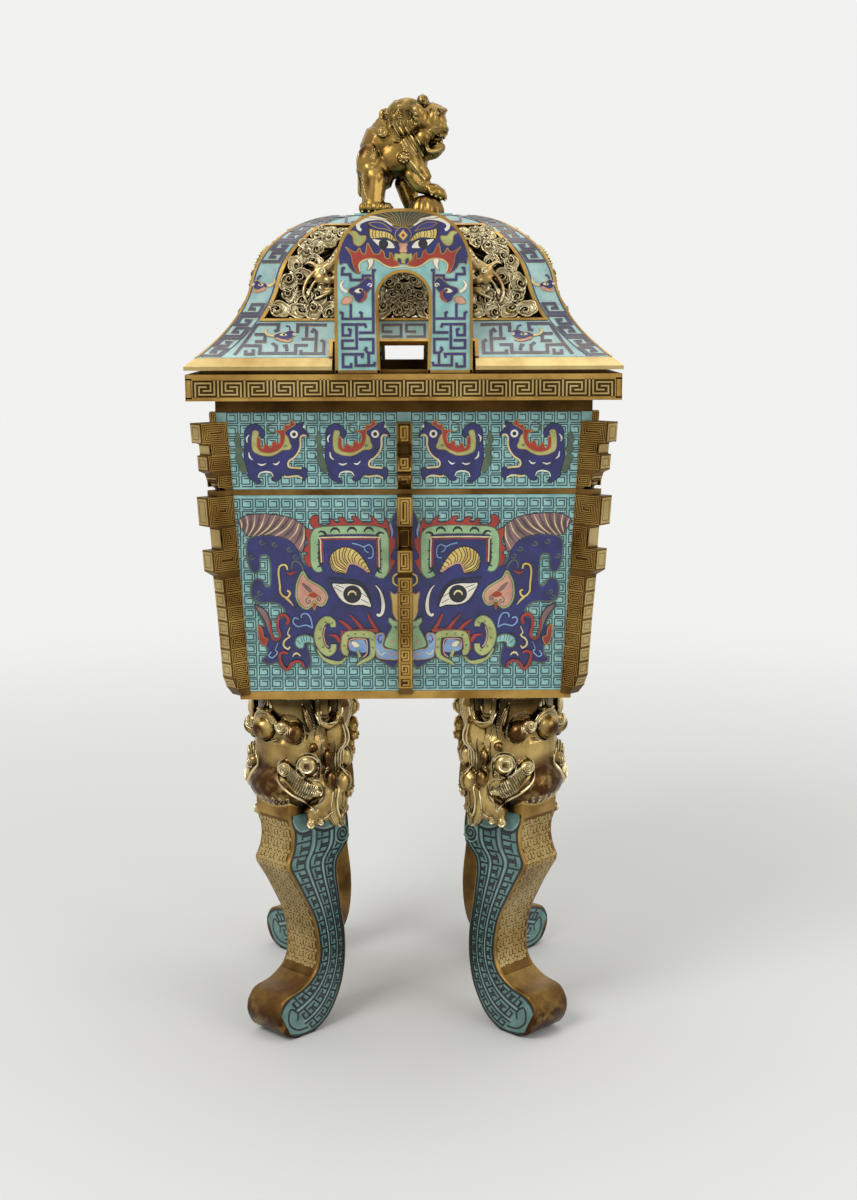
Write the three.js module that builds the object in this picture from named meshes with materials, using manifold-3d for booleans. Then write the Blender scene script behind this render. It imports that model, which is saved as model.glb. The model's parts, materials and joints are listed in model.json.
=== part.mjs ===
// Square-section lidded incense burner in gilt bronze and cloisonne enamel, in millimetres, +Z up.
// The four feet stand on z = 0 and the vessel is centred on the Z axis. One arched handle stands on the
// front (-Y) edge of the rim and one on the back edge. The lion on the lid looks towards +X.
import * as THREE from "three";
import { mergeVertices } from "three/addons/utils/BufferGeometryUtils.js";
import Module from "manifold-3d";

const wasm = await Module();
wasm.setup();

// Clearances and cuts
const GAP = 0.3; // between fixed pieces that touch
const SLIDE_GAP = 1.5; // between pieces that lift out and what guides them
const CUT = 1; // how far a cutter runs past what it cuts

// Vessel
const FLOOR_Z = 353;
const FLOOR_HALF = 160;
const FLOOR_THICK = 8;
const WALL_FLARE = 0.0592; // growth of the half-width per mm of height
const WALL_THICK = 6;
const LOWER_HIGH = 200;
const MID_BAND_HIGH = 5;
const MID_BAND_PROUD = 1;
const UPPER_HIGH = 73;
const NECK_HIGH = 11.5;
const BAND_DEEP = 9; // depth of the gilt bands, from the outside inwards
const RIM_HALF = 200;
const RIM_HIGH = 24.5;
const RIM_WIDE = 42; // from the rim's edge to the ledge that carries the liner
const LEDGE_WIDE = 14;
const LEDGE_HIGH = 8.5;

// Flanges
const FLANGE_THICK = 15;
const CENTRE_FLANGE_THICK = 13;
const FLANGE_PROUD = 25;
const FLANGE_LOW = 13; // how far they stand out in their low stretches
const UPPER_FLANGE_DROP = 9; // from the neck band down to the upper flanges' top
const LOWER_FLANGE_RISE = 5; // from the vessel's underside up to the lower flanges' foot

// Legs
const LEG_RADIUS = 150; // from the Z axis to the legs' studs
const LEG_HIGH = 250;
const LEG_THICK = 50;
const MASK_RADIUS = 53;
const STUD_R = 6;
const STUD_IN_LEG = 45;
const STUD_CLEARANCE = 0.4;
const NUT_R = 12;
const NUT_HIGH = 9;
const THREAD_SHOWING = 2;

// Handles
const HANDLE_THICK = 14;
const HANDLE_SETBACK = 3; // from the rim's edge to the handle's face
const HANDLE_HALF = 63;
const HANDLE_ARCH_R = 63;
const HANDLE_SPRING = 85.5; // from the rim up to where the arch begins
const HANDLE_SQUARENESS = 2.55; // of the arch, where a half circle has 2
const ARCH_STEPS = 24;
const OPENING_HALF = 22;
const OPENING_ARCH_R = 23.5;
const OPENING_SPRING = 68.5;
const TENON_WIDE = 20;
const TENON_DEEP = 12;
const TENON_THICK = 8;

// Lid
const LID_RISE = 3.5; // from the rim up to the moulding
const MOULDING_OVERHANG = 2;
const MOULDING_HIGH = 11.5;
const MOULDING_LIP = 3.5;
const MOULDING_DEEP = 15.5; // from the moulding's outer edge inwards
const LID_EDGE_INSET = 7.5; // from the rim's edge to the enamel's edge
const LID_THICK = 4;
const LID_HIGH = 135;
const LID_TOP_HALF = 62;
const LID_WAIST_INSET = 49.5; // where the hollow flare turns into the round shoulder
const LID_WAIST_HIGH = 70;
const FLARE_REACH = 0.82; // where the flare's tangents meet, as shares of its width and height
const FLARE_RISE = 0.43;
const WAIST_LEAN = 0.08; // how far the shoulder leans in as it leaves the waist
const WAIST_PULL = 0.36; // how far it runs on in that direction
const SHOULDER_REACH = 0.35; // where it turns towards the top, as shares of its width and height
const SHOULDER_DROP = 0.08;
const NOTCH_CLEARANCE = 3; // between a handle and the notch that passes it
const NOTCH_HIGH = 28.5;
const SEAT_THICK = 3;
const COLLAR_THICK = 4;
const COLLAR_DROP = 11;
const WINDOW_MARGIN = 26; // from the hip to the window
const WINDOW_RISE = 34; // from the enamel's edge up to the window
const WINDOW_TOP_DROP = 12; // from the lid's top down to the window
const PANEL_THICK = 4;
const PANEL_SINK = 1; // the openwork lies this far under the enamel
const PANEL_HOLE_R = 7;
const PANEL_ROWS = 4;
const LOW_ROW_HOLES = 6;
const CLOUD_R = 14; // the clouds and dragons that stand out of the openwork
const CLOUD_HIGH = 11;
const CLOUD_PROUD = 8;
const CLOUD_PLACE = 0.55; // of the window's half-width, from its middle

// Finial
const PLINTH_LONG = 98;
const PLINTH_WIDE = 66;
const PLINTH_HIGH = 3;
const LION_HIGH = 119;
const BOLT_R = 4;
const BOLT_HEAD_HIGH = 5;
const BALL_R = 19;

// Liner
const LINER_WALL = 2.5;
const LINER_DEEP = 270;
const LINER_TAPER = 12;
const LINER_LIP_HIGH = 3;

// Heights and widths that follow
const MID_BAND_Z = FLOOR_Z + LOWER_HIGH;
const MID_BAND_TOP_Z = MID_BAND_Z + MID_BAND_HIGH;
const NECK_Z = MID_BAND_TOP_Z + UPPER_HIGH;
const RIM_Z = NECK_Z + NECK_HIGH;
const RIM_TOP_Z = RIM_Z + RIM_HIGH;
const LEDGE_Z = RIM_Z + LEDGE_HIGH;
const LEDGE_HALF = RIM_HALF - RIM_WIDE;
const MOUTH_HALF = LEDGE_HALF + LEDGE_WIDE;
const MOULDING_Z = RIM_TOP_Z + LID_RISE;
const LID_EDGE_Z = MOULDING_Z + MOULDING_HIGH;
const LID_EDGE_HALF = RIM_HALF - LID_EDGE_INSET;
const LID_TOP_Z = LID_EDGE_Z + LID_HIGH;
const NOTCH_HALF = HANDLE_HALF + NOTCH_CLEARANCE;
const NOTCH_TOP_Z = RIM_TOP_Z + NOTCH_HIGH;
const WINDOW_Z = LID_EDGE_Z + WINDOW_RISE;
const WINDOW_TOP_Z = LID_TOP_Z - WINDOW_TOP_DROP;
const HANDLE_Y = -(RIM_HALF - HANDLE_SETBACK - HANDLE_THICK / 2);
const NOTCH_Y = HANDLE_Y + HANDLE_THICK / 2 + NOTCH_CLEARANCE;
const PLINTH_TOP_Z = LID_TOP_Z + GAP + PLINTH_HIGH;
const LION_Z = PLINTH_TOP_Z + GAP;
const BOLT_X = -PLINTH_LONG * 0.3;
const FAR = 2 * RIM_HALF; // past the object's edge
const wallHalf = (z) => FLOOR_HALF + (z - FLOOR_Z) * WALL_FLARE;

// Materials, as the object shows them
const gilt = new THREE.MeshStandardMaterial({ color: 0xc79a4b, roughness: 0.35, metalness: 1.0 });
const darkBronze = new THREE.MeshStandardMaterial({ color: 0x8f6a30, roughness: 0.45, metalness: 1.0 });
const enamel = new THREE.MeshStandardMaterial({ color: 0x6cb4b8, roughness: 0.35, metalness: 0.0 });
const copper = new THREE.MeshStandardMaterial({ color: 0x7a4a2c, roughness: 0.5, metalness: 1.0 });

// A closed three.js geometry as a solid
function solid(geometry) {
  const g = geometry.index ? geometry.toNonIndexed() : geometry.clone();
  g.deleteAttribute("normal");
  g.deleteAttribute("uv");
  const merged = mergeVertices(g, 1e-4);
  return new wasm.Manifold(
    new wasm.Mesh({
      numProp: 3,
      vertProperties: new Float32Array(merged.attributes.position.array),
      triVerts: new Uint32Array(merged.index.array),
    }),
  );
}

function unite(solids) {
  return solids.reduce((sum, s) => sum.add(s));
}

const group = new THREE.Group();

function place(name, body, material, turn = 0) {
  const m = body.getMesh();
  const positions = new Float32Array(m.numVert * 3);
  for (let i = 0; i < m.numVert; i++) {
    positions.set(m.vertProperties.subarray(i * m.numProp, i * m.numProp + 3), i * 3);
  }
  const geometry = new THREE.BufferGeometry();
  geometry.setAttribute("position", new THREE.BufferAttribute(positions, 3));
  geometry.setIndex(new THREE.BufferAttribute(new Uint32Array(m.triVerts), 1));
  const mesh = new THREE.Mesh(geometry, material);
  mesh.name = name;
  mesh.rotation.z = turn;
  group.add(mesh);
}

// Basic shapes in the object's frame

function box(x0, x1, y0, y1, z0, z1) {
  const g = new THREE.BoxGeometry(x1 - x0, y1 - y0, z1 - z0);
  return solid(g.translate((x0 + x1) / 2, (y0 + y1) / 2, (z0 + z1) / 2));
}

function upright(radius, z0, z1, x = 0, y = 0, sides = 20) {
  const g = new THREE.CylinderGeometry(radius, radius, z1 - z0, sides);
  return solid(g.rotateX(Math.PI / 2).translate(x, y, (z0 + z1) / 2));
}

// Square solid of revolution, from [half-width, z] pairs that run anticlockwise in the plane of the axis
function squareTurned(profile, closed = false) {
  const points = profile.map(([half, z]) => new THREE.Vector2(half * Math.SQRT2, z));
  if (closed) points.push(points[0].clone());
  const g = new THREE.LatheGeometry(points, 4, Math.PI / 4);
  return solid(g.rotateX(Math.PI / 2));
}

function squareFrustum(bottomHalf, topHalf, z0, z1) {
  return squareTurned([[0, z0], [bottomHalf, z0], [topHalf, z1], [0, z1]]);
}

function squareRing(bottomHalf, topHalf, deep, z0, z1) {
  const hole = squareFrustum(bottomHalf - deep, topHalf - deep, z0 - CUT, z1 + CUT);
  return squareFrustum(bottomHalf, topHalf, z0, z1).subtract(hole);
}

function ellipsoid(centre, radii, tilt = 0, detail = 8) {
  const g = new THREE.SphereGeometry(1, detail, Math.round(detail * 0.7));
  return solid(g.scale(...radii).rotateY(tilt).translate(...centre));
}

// Tapered limb with round ends between two points
function limb(from, to, rFrom, rTo) {
  const a = new THREE.Vector3(...from);
  const b = new THREE.Vector3(...to);
  const g = new THREE.CylinderGeometry(rTo, rFrom, a.distanceTo(b), 8);
  const turn = new THREE.Quaternion().setFromUnitVectors(
    new THREE.Vector3(0, 1, 0),
    b.clone().sub(a).normalize(),
  );
  g.applyQuaternion(turn).translate(...a.clone().lerp(b, 0.5).toArray());
  return unite([solid(g), ellipsoid(from, [rFrom, rFrom, rFrom]), ellipsoid(to, [rTo, rTo, rTo])]);
}

// Plate cut from an outline in the XZ plane, its thickness centred on y
function plateXZ(outline, thick, y = 0) {
  const g = new THREE.ExtrudeGeometry(outline, { depth: thick, bevelEnabled: false, curveSegments: 16 });
  return solid(g.rotateX(Math.PI / 2).translate(0, y + thick / 2, 0));
}

function outlineOf(points) {
  return new THREE.Shape(points.map(([x, z]) => new THREE.Vector2(x, z)));
}

// Smooth run of points through a few given ones
function smoothRun(points, steps) {
  const curve = new THREE.SplineCurve(points.map(([x, z]) => new THREE.Vector2(x, z)));
  return curve.getPoints(steps).map((p) => [p.x, p.y]);
}

const SIDES = ["front", "right", "back", "left"];
const CORNERS = ["front_left", "front_right", "back_right", "back_left"];
const quarter = (i) => (i * Math.PI) / 2;
const cornerTurn = (i) => (5 * Math.PI) / 4 + quarter(i);

// Vessel

// The part of a square tube that belongs to the front wall, mitred at both corners
function frontQuarter(z0, z1) {
  const shape = outlineOf([[0, -GAP], [-FAR, -FAR - GAP], [FAR, -FAR - GAP]]);
  const g = new THREE.ExtrudeGeometry(shape, { depth: z1 - z0, bevelEnabled: false });
  return solid(g.translate(0, 0, z0));
}

function wallPlate(z0, z1) {
  return squareRing(wallHalf(z0), wallHalf(z1), WALL_THICK, z0, z1).intersect(frontQuarter(z0, z1));
}

function floorPlate() {
  const top = FLOOR_Z + FLOOR_THICK;
  let floor = squareFrustum(FLOOR_HALF, wallHalf(top), FLOOR_Z, top);
  for (let i = 0; i < 4; i++) {
    const x = LEG_RADIUS * Math.cos(cornerTurn(i));
    const y = LEG_RADIUS * Math.sin(cornerTurn(i));
    floor = floor.subtract(upright(STUD_R + STUD_CLEARANCE, FLOOR_Z - CUT, top + CUT, x, y));
  }
  return floor;
}

// The middle band has a lug at each corner, between the upper and the lower flange
function middleBand() {
  const half = wallHalf(MID_BAND_Z) + MID_BAND_PROUD;
  let band = squareRing(half, half, BAND_DEEP, MID_BAND_Z, MID_BAND_TOP_Z);
  const reach = wallHalf(MID_BAND_Z) * Math.SQRT2 + FLANGE_LOW - MID_BAND_PROUD;
  const wide = FLANGE_THICK / 2;
  for (let i = 0; i < 4; i++) {
    const lug = box(reach - FLANGE_PROUD, reach, -wide, wide, MID_BAND_Z, MID_BAND_TOP_Z);
    band = band.add(lug.rotate([0, 0, 45 + 90 * i]));
  }
  return band;
}

function rim() {
  let frame = squareRing(RIM_HALF, RIM_HALF, RIM_WIDE, RIM_Z, RIM_TOP_Z);
  frame = frame.subtract(squareFrustum(MOUTH_HALF, MOUTH_HALF, LEDGE_Z, RIM_TOP_Z + CUT));
  for (const turn of [0, 180]) {
    for (const x of tenonPlaces()) {
      const socket = tenon(x, GAP).translate([0, 0, -GAP]);
      frame = frame.subtract(socket.rotate([0, 0, turn]));
    }
  }
  return frame;
}

function addVessel() {
  place("vessel_floor", floorPlate(), gilt);
  place("middle_band", middleBand(), gilt);
  const neckHalf = wallHalf(NECK_Z);
  place("neck_band", squareRing(neckHalf, neckHalf, BAND_DEEP, NECK_Z, RIM_Z - GAP), gilt);
  place("rim", rim(), gilt);
  const lower = wallPlate(FLOOR_Z + FLOOR_THICK + GAP, MID_BAND_Z - GAP);
  const upper = wallPlate(MID_BAND_TOP_Z + GAP, NECK_Z - GAP);
  SIDES.forEach((side, i) => {
    place("lower_panel_" + side, lower, enamel, quarter(i));
    place("upper_panel_" + side, upper, enamel, quarter(i));
  });
}

// Flanges: the notched edge holds [projection from the wall, drop as a share of the flange's height]

const UPPER_EDGE = [
  [FLANGE_PROUD, 0], [FLANGE_PROUD, 0.28], [FLANGE_LOW + 4, 0.32], [FLANGE_LOW + 2, 0.4],
  [FLANGE_LOW + 4, 0.48], [FLANGE_PROUD - 5, 0.48], [FLANGE_PROUD - 5, 0.71], [FLANGE_LOW, 0.76],
  [FLANGE_LOW - 2, 0.86], [FLANGE_LOW - 6, 0.94], [MID_BAND_PROUD, 1],
];
const LOWER_EDGE = [
  [FLANGE_PROUD, 0], [FLANGE_PROUD, 0.14], [FLANGE_LOW, 0.155], [FLANGE_LOW - 2, 0.205],
  [FLANGE_LOW, 0.26], [FLANGE_PROUD - 1, 0.26], [FLANGE_PROUD - 1, 0.365], [FLANGE_LOW + 1, 0.395],
  [FLANGE_LOW, 0.6], [FLANGE_LOW, 0.9], [FLANGE_LOW - 4, 0.96], [3 * MID_BAND_PROUD, 1],
];

function flangeOutline(edge, topZ, bottomZ, wall) {
  const notched = edge.map(([proud, drop]) => {
    const z = topZ + (bottomZ - topZ) * drop;
    return [wall(z) + proud, z];
  });
  return outlineOf([
    ...notched,
    [wall(bottomZ) - FLANGE_THICK, bottomZ],
    [wall(topZ) - FLANGE_THICK, topZ],
  ]);
}

function addFlanges() {
  const walls = squareFrustum(
    wallHalf(FLOOR_Z - CUT) + GAP,
    wallHalf(RIM_Z) + GAP,
    FLOOR_Z - CUT,
    RIM_Z,
  );
  const levels = [
    ["upper", UPPER_EDGE, NECK_Z - UPPER_FLANGE_DROP, MID_BAND_TOP_Z + GAP],
    ["lower", LOWER_EDGE, MID_BAND_Z - GAP, FLOOR_Z + LOWER_FLANGE_RISE],
  ];
  for (const [level, edge, topZ, bottomZ] of levels) {
    const diagonal = flangeOutline(edge, topZ, bottomZ, (z) => wallHalf(z) * Math.SQRT2);
    const straight = flangeOutline(edge, topZ, bottomZ, wallHalf);
    const atCorner = plateXZ(diagonal, FLANGE_THICK);
    const atCentre = plateXZ(straight, CENTRE_FLANGE_THICK);
    CORNERS.forEach((corner, i) => {
      const turned = atCorner.rotate([0, 0, 225 + 90 * i]);
      place(level + "_flange_" + corner, turned.subtract(walls), gilt);
    });
    SIDES.forEach((side, i) => {
      const turned = atCentre.rotate([0, 0, 270 + 90 * i]);
      place(level + "_flange_" + side, turned.subtract(walls), gilt);
    });
  }
}

// Legs: drawn in the plane of radius and height, with [distance outwards from the stud, height] points
// for a leg of LEG_DRAWN height, and set out on the diagonals

const LEG_DRAWN = 250;
const FOOT_AND_SHIN = [
  [32, 0], [48, 8], [56, 27], [47, 45], [24, 51], [5, 65], [1, 90], [8, 122], [24, 152], [40, 177],
];
const KNEE = [[41, 183], [34, 197], [33, 213], [38, 232]];
const CALF_TOP = [[-38, 232], [-42, 212], [-41, 190], [-28, 179]];
const CALF = [[-25, 164], [-31, 125], [-36, 92], [-35, 62], [-28, 36], [-12, 12], [8, 0]];

function legBlade() {
  const high = LEG_HIGH / LEG_DRAWN;
  const edge = [
    ...smoothRun(FOOT_AND_SHIN, 26),
    ...smoothRun(KNEE, 8),
    [KNEE[3][0], LEG_DRAWN],
    [CALF_TOP[0][0], LEG_DRAWN],
    ...smoothRun(CALF_TOP, 7),
    ...smoothRun(CALF, 18),
  ];
  const outline = outlineOf(edge.map(([r, z]) => [LEG_RADIUS + r, z * high]));
  return plateXZ(outline, LEG_THICK).subtract(
    upright(STUD_R + STUD_CLEARANCE, LEG_HIGH - STUD_IN_LEG - CUT, LEG_HIGH + CUT, LEG_RADIUS, 0),
  );
}

// Beast's head, drawn about the stud for a head of MASK_DRAWN radius, with heights down from the vessel.
// It hangs upside down: its jaws bite the vessel, and its round forehead is at the bottom.
const MASK_DRAWN = 53;

function lobe(angle, out, drop, radii) {
  const turn = (angle * Math.PI) / 180;
  const s = MASK_RADIUS / MASK_DRAWN;
  const centre = [LEG_RADIUS + out * s * Math.cos(turn), out * s * Math.sin(turn), FLOOR_Z - drop * s];
  return ellipsoid(centre, radii.map((r) => r * s), 0, radii[0] > 20 ? 11 : 7);
}

function mask() {
  const s = MASK_RADIUS / MASK_DRAWN;
  const top = FLOOR_Z - GAP;
  const parts = [
    upright(42 * s, FLOOR_Z - 60 * s, top, LEG_RADIUS, 0, 18),
    lobe(0, 0, 62, [47, 47, 52]),
    lobe(0, 9, 91, [45, 47, 28]), // forehead
    lobe(0, 46, 33, [12, 11, 12]), // nose
  ];
  for (const side of [-1, 1]) {
    parts.push(lobe(40 * side, 45, 36, [11, 11, 11])); // nostril
    parts.push(lobe(57 * side, 44, 68, [11, 11, 11])); // eye
    parts.push(lobe(48 * side, 46, 89, [12, 12, 12])); // brow
    parts.push(lobe(100 * side, 44, 40, [15, 10, 20])); // jaw
    parts.push(lobe(112 * side, 46, 92, [12, 9, 13])); // ear
    parts.push(lobe(66 * side, 41, 118, [9, 9, 11])); // locks of the mane
    parts.push(lobe(84 * side, 41, 104, [11, 11, 22]));
    parts.push(lobe(106 * side, 40, 106, [10, 11, 20]));
  }
  const half = LEG_THICK / 2 + GAP;
  const room = box(0, LEG_RADIUS + KNEE[0][0] + GAP, -half, half, 0, LEG_HIGH + GAP);
  return unite(parts)
    .subtract(box(0, FAR, -FAR, FAR, top, top + FAR))
    .subtract(room)
    .subtract(upright(STUD_R + STUD_CLEARANCE, LEG_HIGH, top + CUT, LEG_RADIUS, 0));
}

function addLegs() {
  const blade = legBlade();
  const head = mask();
  const nutZ = FLOOR_Z + FLOOR_THICK + GAP;
  const nutTop = nutZ + NUT_HIGH;
  const stud = upright(STUD_R, LEG_HIGH - STUD_IN_LEG, nutTop + THREAD_SHOWING, LEG_RADIUS, 0);
  const nutHole = upright(STUD_R + GAP, nutZ - CUT, nutTop + CUT, LEG_RADIUS, 0);
  const nut = upright(NUT_R, nutZ, nutTop, LEG_RADIUS, 0, 6).subtract(nutHole);
  CORNERS.forEach((corner, i) => {
    place("leg_" + corner, blade, gilt, cornerTurn(i));
    place("leg_mask_" + corner, head, gilt, cornerTurn(i));
    place("leg_stud_" + corner, stud, darkBronze, cornerTurn(i));
    place("leg_nut_" + corner, nut, darkBronze, cornerTurn(i));
  });
}

// Handles

function tenonPlaces() {
  const middle = (HANDLE_HALF + OPENING_HALF) / 2;
  return [-middle, middle];
}

function tenon(x, clearance) {
  const wide = TENON_WIDE / 2 + clearance;
  const thick = TENON_THICK / 2 + clearance;
  return box(
    x - wide,
    x + wide,
    HANDLE_Y - thick,
    HANDLE_Y + thick,
    RIM_TOP_Z - TENON_DEEP,
    RIM_TOP_Z + CUT,
  );
}

// An arch on upright sides. A squareness of 2 gives a half circle, and more gives wider shoulders.
function archShape(baseHalf, radius, springZ, baseZ, squareness = 2) {
  const shape = new THREE.Shape();
  shape.moveTo(-baseHalf, baseZ);
  shape.lineTo(baseHalf, baseZ);
  for (let i = 0; i <= ARCH_STEPS; i += 1) {
    const turn = (Math.PI * i) / ARCH_STEPS;
    const across = Math.cos(turn);
    const up = Math.max(Math.sin(turn), 0);
    const size = radius * (Math.abs(across) ** squareness + up ** squareness) ** (-1 / squareness);
    shape.lineTo(size * across, springZ + size * up);
  }
  shape.lineTo(-baseHalf, baseZ);
  return shape;
}

function handle() {
  const base = RIM_TOP_Z + GAP;
  const spring = RIM_TOP_Z + HANDLE_SPRING;
  const outer = archShape(HANDLE_HALF, HANDLE_ARCH_R, spring, base, HANDLE_SQUARENESS);
  const inner = archShape(OPENING_HALF, OPENING_ARCH_R, RIM_TOP_Z + OPENING_SPRING, base - CUT);
  const arch = plateXZ(outer, HANDLE_THICK, HANDLE_Y);
  const opening = plateXZ(inner, HANDLE_THICK + CUT, HANDLE_Y);
  return unite([arch.subtract(opening), ...tenonPlaces().map((x) => tenon(x, 0))]);
}

// Lid

// The slope from the gilt edge to the flat top: a hollow flare up to the waist, then a round shoulder
function lidProfile() {
  const waist = new THREE.Vector2(LID_EDGE_HALF - LID_WAIST_INSET, LID_EDGE_Z + LID_WAIST_HIGH);
  const edge = new THREE.Vector2(LID_EDGE_HALF, LID_EDGE_Z);
  const top = new THREE.Vector2(LID_TOP_HALF, LID_TOP_Z);
  const flare = new THREE.QuadraticBezierCurve(
    edge,
    new THREE.Vector2(
      LID_EDGE_HALF - FLARE_REACH * LID_WAIST_INSET,
      LID_EDGE_Z + FLARE_RISE * LID_WAIST_HIGH,
    ),
    waist,
  );
  const lean = new THREE.Vector2(waist.x - WAIST_LEAN * waist.x, top.y);
  const turn = new THREE.Vector2(
    waist.x + SHOULDER_REACH * (top.x - waist.x),
    top.y - SHOULDER_DROP * (top.y - waist.y),
  );
  const shoulder = new THREE.CubicBezierCurve(waist, waist.clone().lerp(lean, WAIST_PULL), turn, top);
  const points = [...flare.getPoints(5), ...shoulder.getPoints(6).slice(1)];
  return points.map((p) => [p.x, p.y]);
}

const LID_PROFILE = lidProfile();

function offsetProfile(inwards) {
  return LID_PROFILE.map((p, i) => {
    const before = LID_PROFILE[Math.max(i - 1, 0)];
    const after = LID_PROFILE[Math.min(i + 1, LID_PROFILE.length - 1)];
    const run = new THREE.Vector2(after[0] - before[0], after[1] - before[1]).normalize();
    return [p[0] - run.y * inwards, p[1] + run.x * inwards];
  });
}

function lidHalf(z) {
  for (let i = 1; i < LID_PROFILE.length; i++) {
    const [w1, z1] = LID_PROFILE[i];
    const [w0, z0] = LID_PROFILE[i - 1];
    if (z <= z1) return w0 + ((w1 - w0) * (z - z0)) / (z1 - z0);
  }
  return LID_TOP_HALF;
}

// Cutter for one window in the front slope, drawn in by a margin
function windowCutter(margin) {
  const bottom = WINDOW_Z + margin;
  const top = WINDOW_TOP_Z - margin;
  const steps = 6;
  const right = [];
  for (let i = 0; i <= steps; i++) {
    const z = bottom + ((top - bottom) * i) / steps;
    right.push([lidHalf(z) - WINDOW_MARGIN - margin, z]);
  }
  const left = right.map(([x, z]) => [-x, z]).reverse();
  return plateXZ(outlineOf([...right, ...left]), RIM_HALF, -RIM_HALF / 2 - LID_TOP_HALF);
}

function bothHandles(cutter) {
  return cutter.add(cutter.rotate([0, 0, 180]));
}

function notches() {
  const inner = LID_EDGE_HALF - LID_WAIST_INSET;
  return bothHandles(box(-NOTCH_HALF, NOTCH_HALF, -FAR, -inner, RIM_Z, NOTCH_TOP_Z));
}

function lidShell() {
  const outer = [[0, LID_EDGE_Z], ...LID_PROFILE, [0, LID_TOP_Z]];
  const under = offsetProfile(LID_THICK);
  const last = under.length - 1;
  under[last] = [under[last][0], LID_TOP_Z - LID_THICK];
  const mouth = LID_EDGE_HALF - 2 * LID_THICK;
  const inner = [
    [0, LID_EDGE_Z - CUT], [mouth + CUT, LID_EDGE_Z - CUT], [mouth, LID_EDGE_Z], ...under.slice(1),
    [0, LID_TOP_Z - LID_THICK],
  ];
  let shell = squareTurned(outer).subtract(squareTurned(inner)).subtract(notches());
  for (let i = 0; i < 4; i++) shell = shell.subtract(windowCutter(0).rotate([0, 0, 90 * i]));
  return shell.subtract(upright(BOLT_R + GAP, LID_TOP_Z - LID_THICK - CUT, LID_TOP_Z + CUT, BOLT_X, 0));
}

// Pierced panel that fills the front window, with bosses where its clouds and dragon stand out
function openworkPanel() {
  const section = outlineOf([
    ...offsetProfile(PANEL_SINK),
    ...offsetProfile(PANEL_SINK + PANEL_THICK).reverse(),
  ]);
  const sheet = new THREE.ExtrudeGeometry(section, { depth: FAR, bevelEnabled: false });
  // The section's half-width runs along -Y, its height along Z, and its length along X
  sheet.translate(0, 0, -FAR / 2).rotateX(Math.PI / 2).rotateZ(-Math.PI / 2);
  let panel = solid(sheet).intersect(windowCutter(GAP));
  const clear = WINDOW_MARGIN + 2 * PANEL_HOLE_R;
  for (let row = 0; row < PANEL_ROWS; row++) {
    const z = WINDOW_Z + ((WINDOW_TOP_Z - WINDOW_Z) * (row + 0.5)) / PANEL_ROWS;
    const half = lidHalf(z) - clear;
    const count = LOW_ROW_HOLES - row + (row % 2);
    for (let i = 0; i < count; i++) {
      const x = -half + (2 * half * (i + 0.5)) / count;
      const hole = new THREE.CylinderGeometry(PANEL_HOLE_R, PANEL_HOLE_R, RIM_HALF, 4);
      panel = panel.subtract(solid(hole.translate(x, -RIM_HALF / 2 - LID_TOP_HALF, z)));
    }
    for (const side of [-1, 1]) panel = panel.add(cloud(side * half * CLOUD_PLACE, z));
  }
  return panel;
}

function cloud(x, z) {
  const y = -(lidHalf(z) - PANEL_SINK - CUT);
  return ellipsoid([x, y, z], [CLOUD_R, CLOUD_PROUD, CLOUD_HIGH], 0, 6);
}

function mouldingHalf(side) {
  const outer = RIM_HALF + MOULDING_OVERHANG;
  const inner = outer - MOULDING_DEEP;
  const top = LID_EDGE_Z - GAP;
  const profile = [
    [inner, MOULDING_Z], [outer, MOULDING_Z], [outer, MOULDING_Z + MOULDING_LIP], [LID_EDGE_HALF, top],
    [inner, top],
  ];
  const keep = side === "right" ? box(0, FAR, -FAR, FAR, 0, FAR * 3) : box(-FAR, 0, -FAR, FAR, 0, FAR * 3);
  return squareTurned(profile, true).subtract(notches()).intersect(keep);
}

// Frame under the lid: a flat that rests on the rim, a stay up to the enamel, and a collar in the mouth
function seatFrame() {
  const base = RIM_TOP_Z + GAP;
  const top = base + SEAT_THICK;
  const outer = RIM_HALF + MOULDING_OVERHANG - MOULDING_DEEP - GAP;
  const collarOuter = MOUTH_HALF - SLIDE_GAP / 3;
  const collarInner = collarOuter - COLLAR_THICK;
  const flat = squareRing(outer, outer, outer - collarInner, base, top);
  const stayHalf = LID_EDGE_HALF - 2 * LID_THICK - GAP;
  const stay = squareRing(stayHalf, stayHalf, COLLAR_THICK, base + CUT, LID_EDGE_Z - GAP);
  const collar = squareRing(collarOuter, collarOuter, COLLAR_THICK, base - COLLAR_DROP, top);
  const inset = bothHandles(box(-NOTCH_HALF, NOTCH_HALF, -FAR, NOTCH_Y, base - CUT, NOTCH_TOP_Z));
  return unite([flat.subtract(inset), stay.subtract(inset), collar]);
}

// Finial: a seated guardian lion with one forepaw raised on a ball, drawn for a height of LION_DRAWN with
// [x, y, z] from the plinth's middle

const LION_DRAWN = 119;

function ball(clearance = 0) {
  const s = LION_HIGH / LION_DRAWN;
  const r = BALL_R + clearance;
  return ellipsoid([23 * s, -11 * s, LION_Z + GAP], [r, r, r], 0, 14);
}

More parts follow.
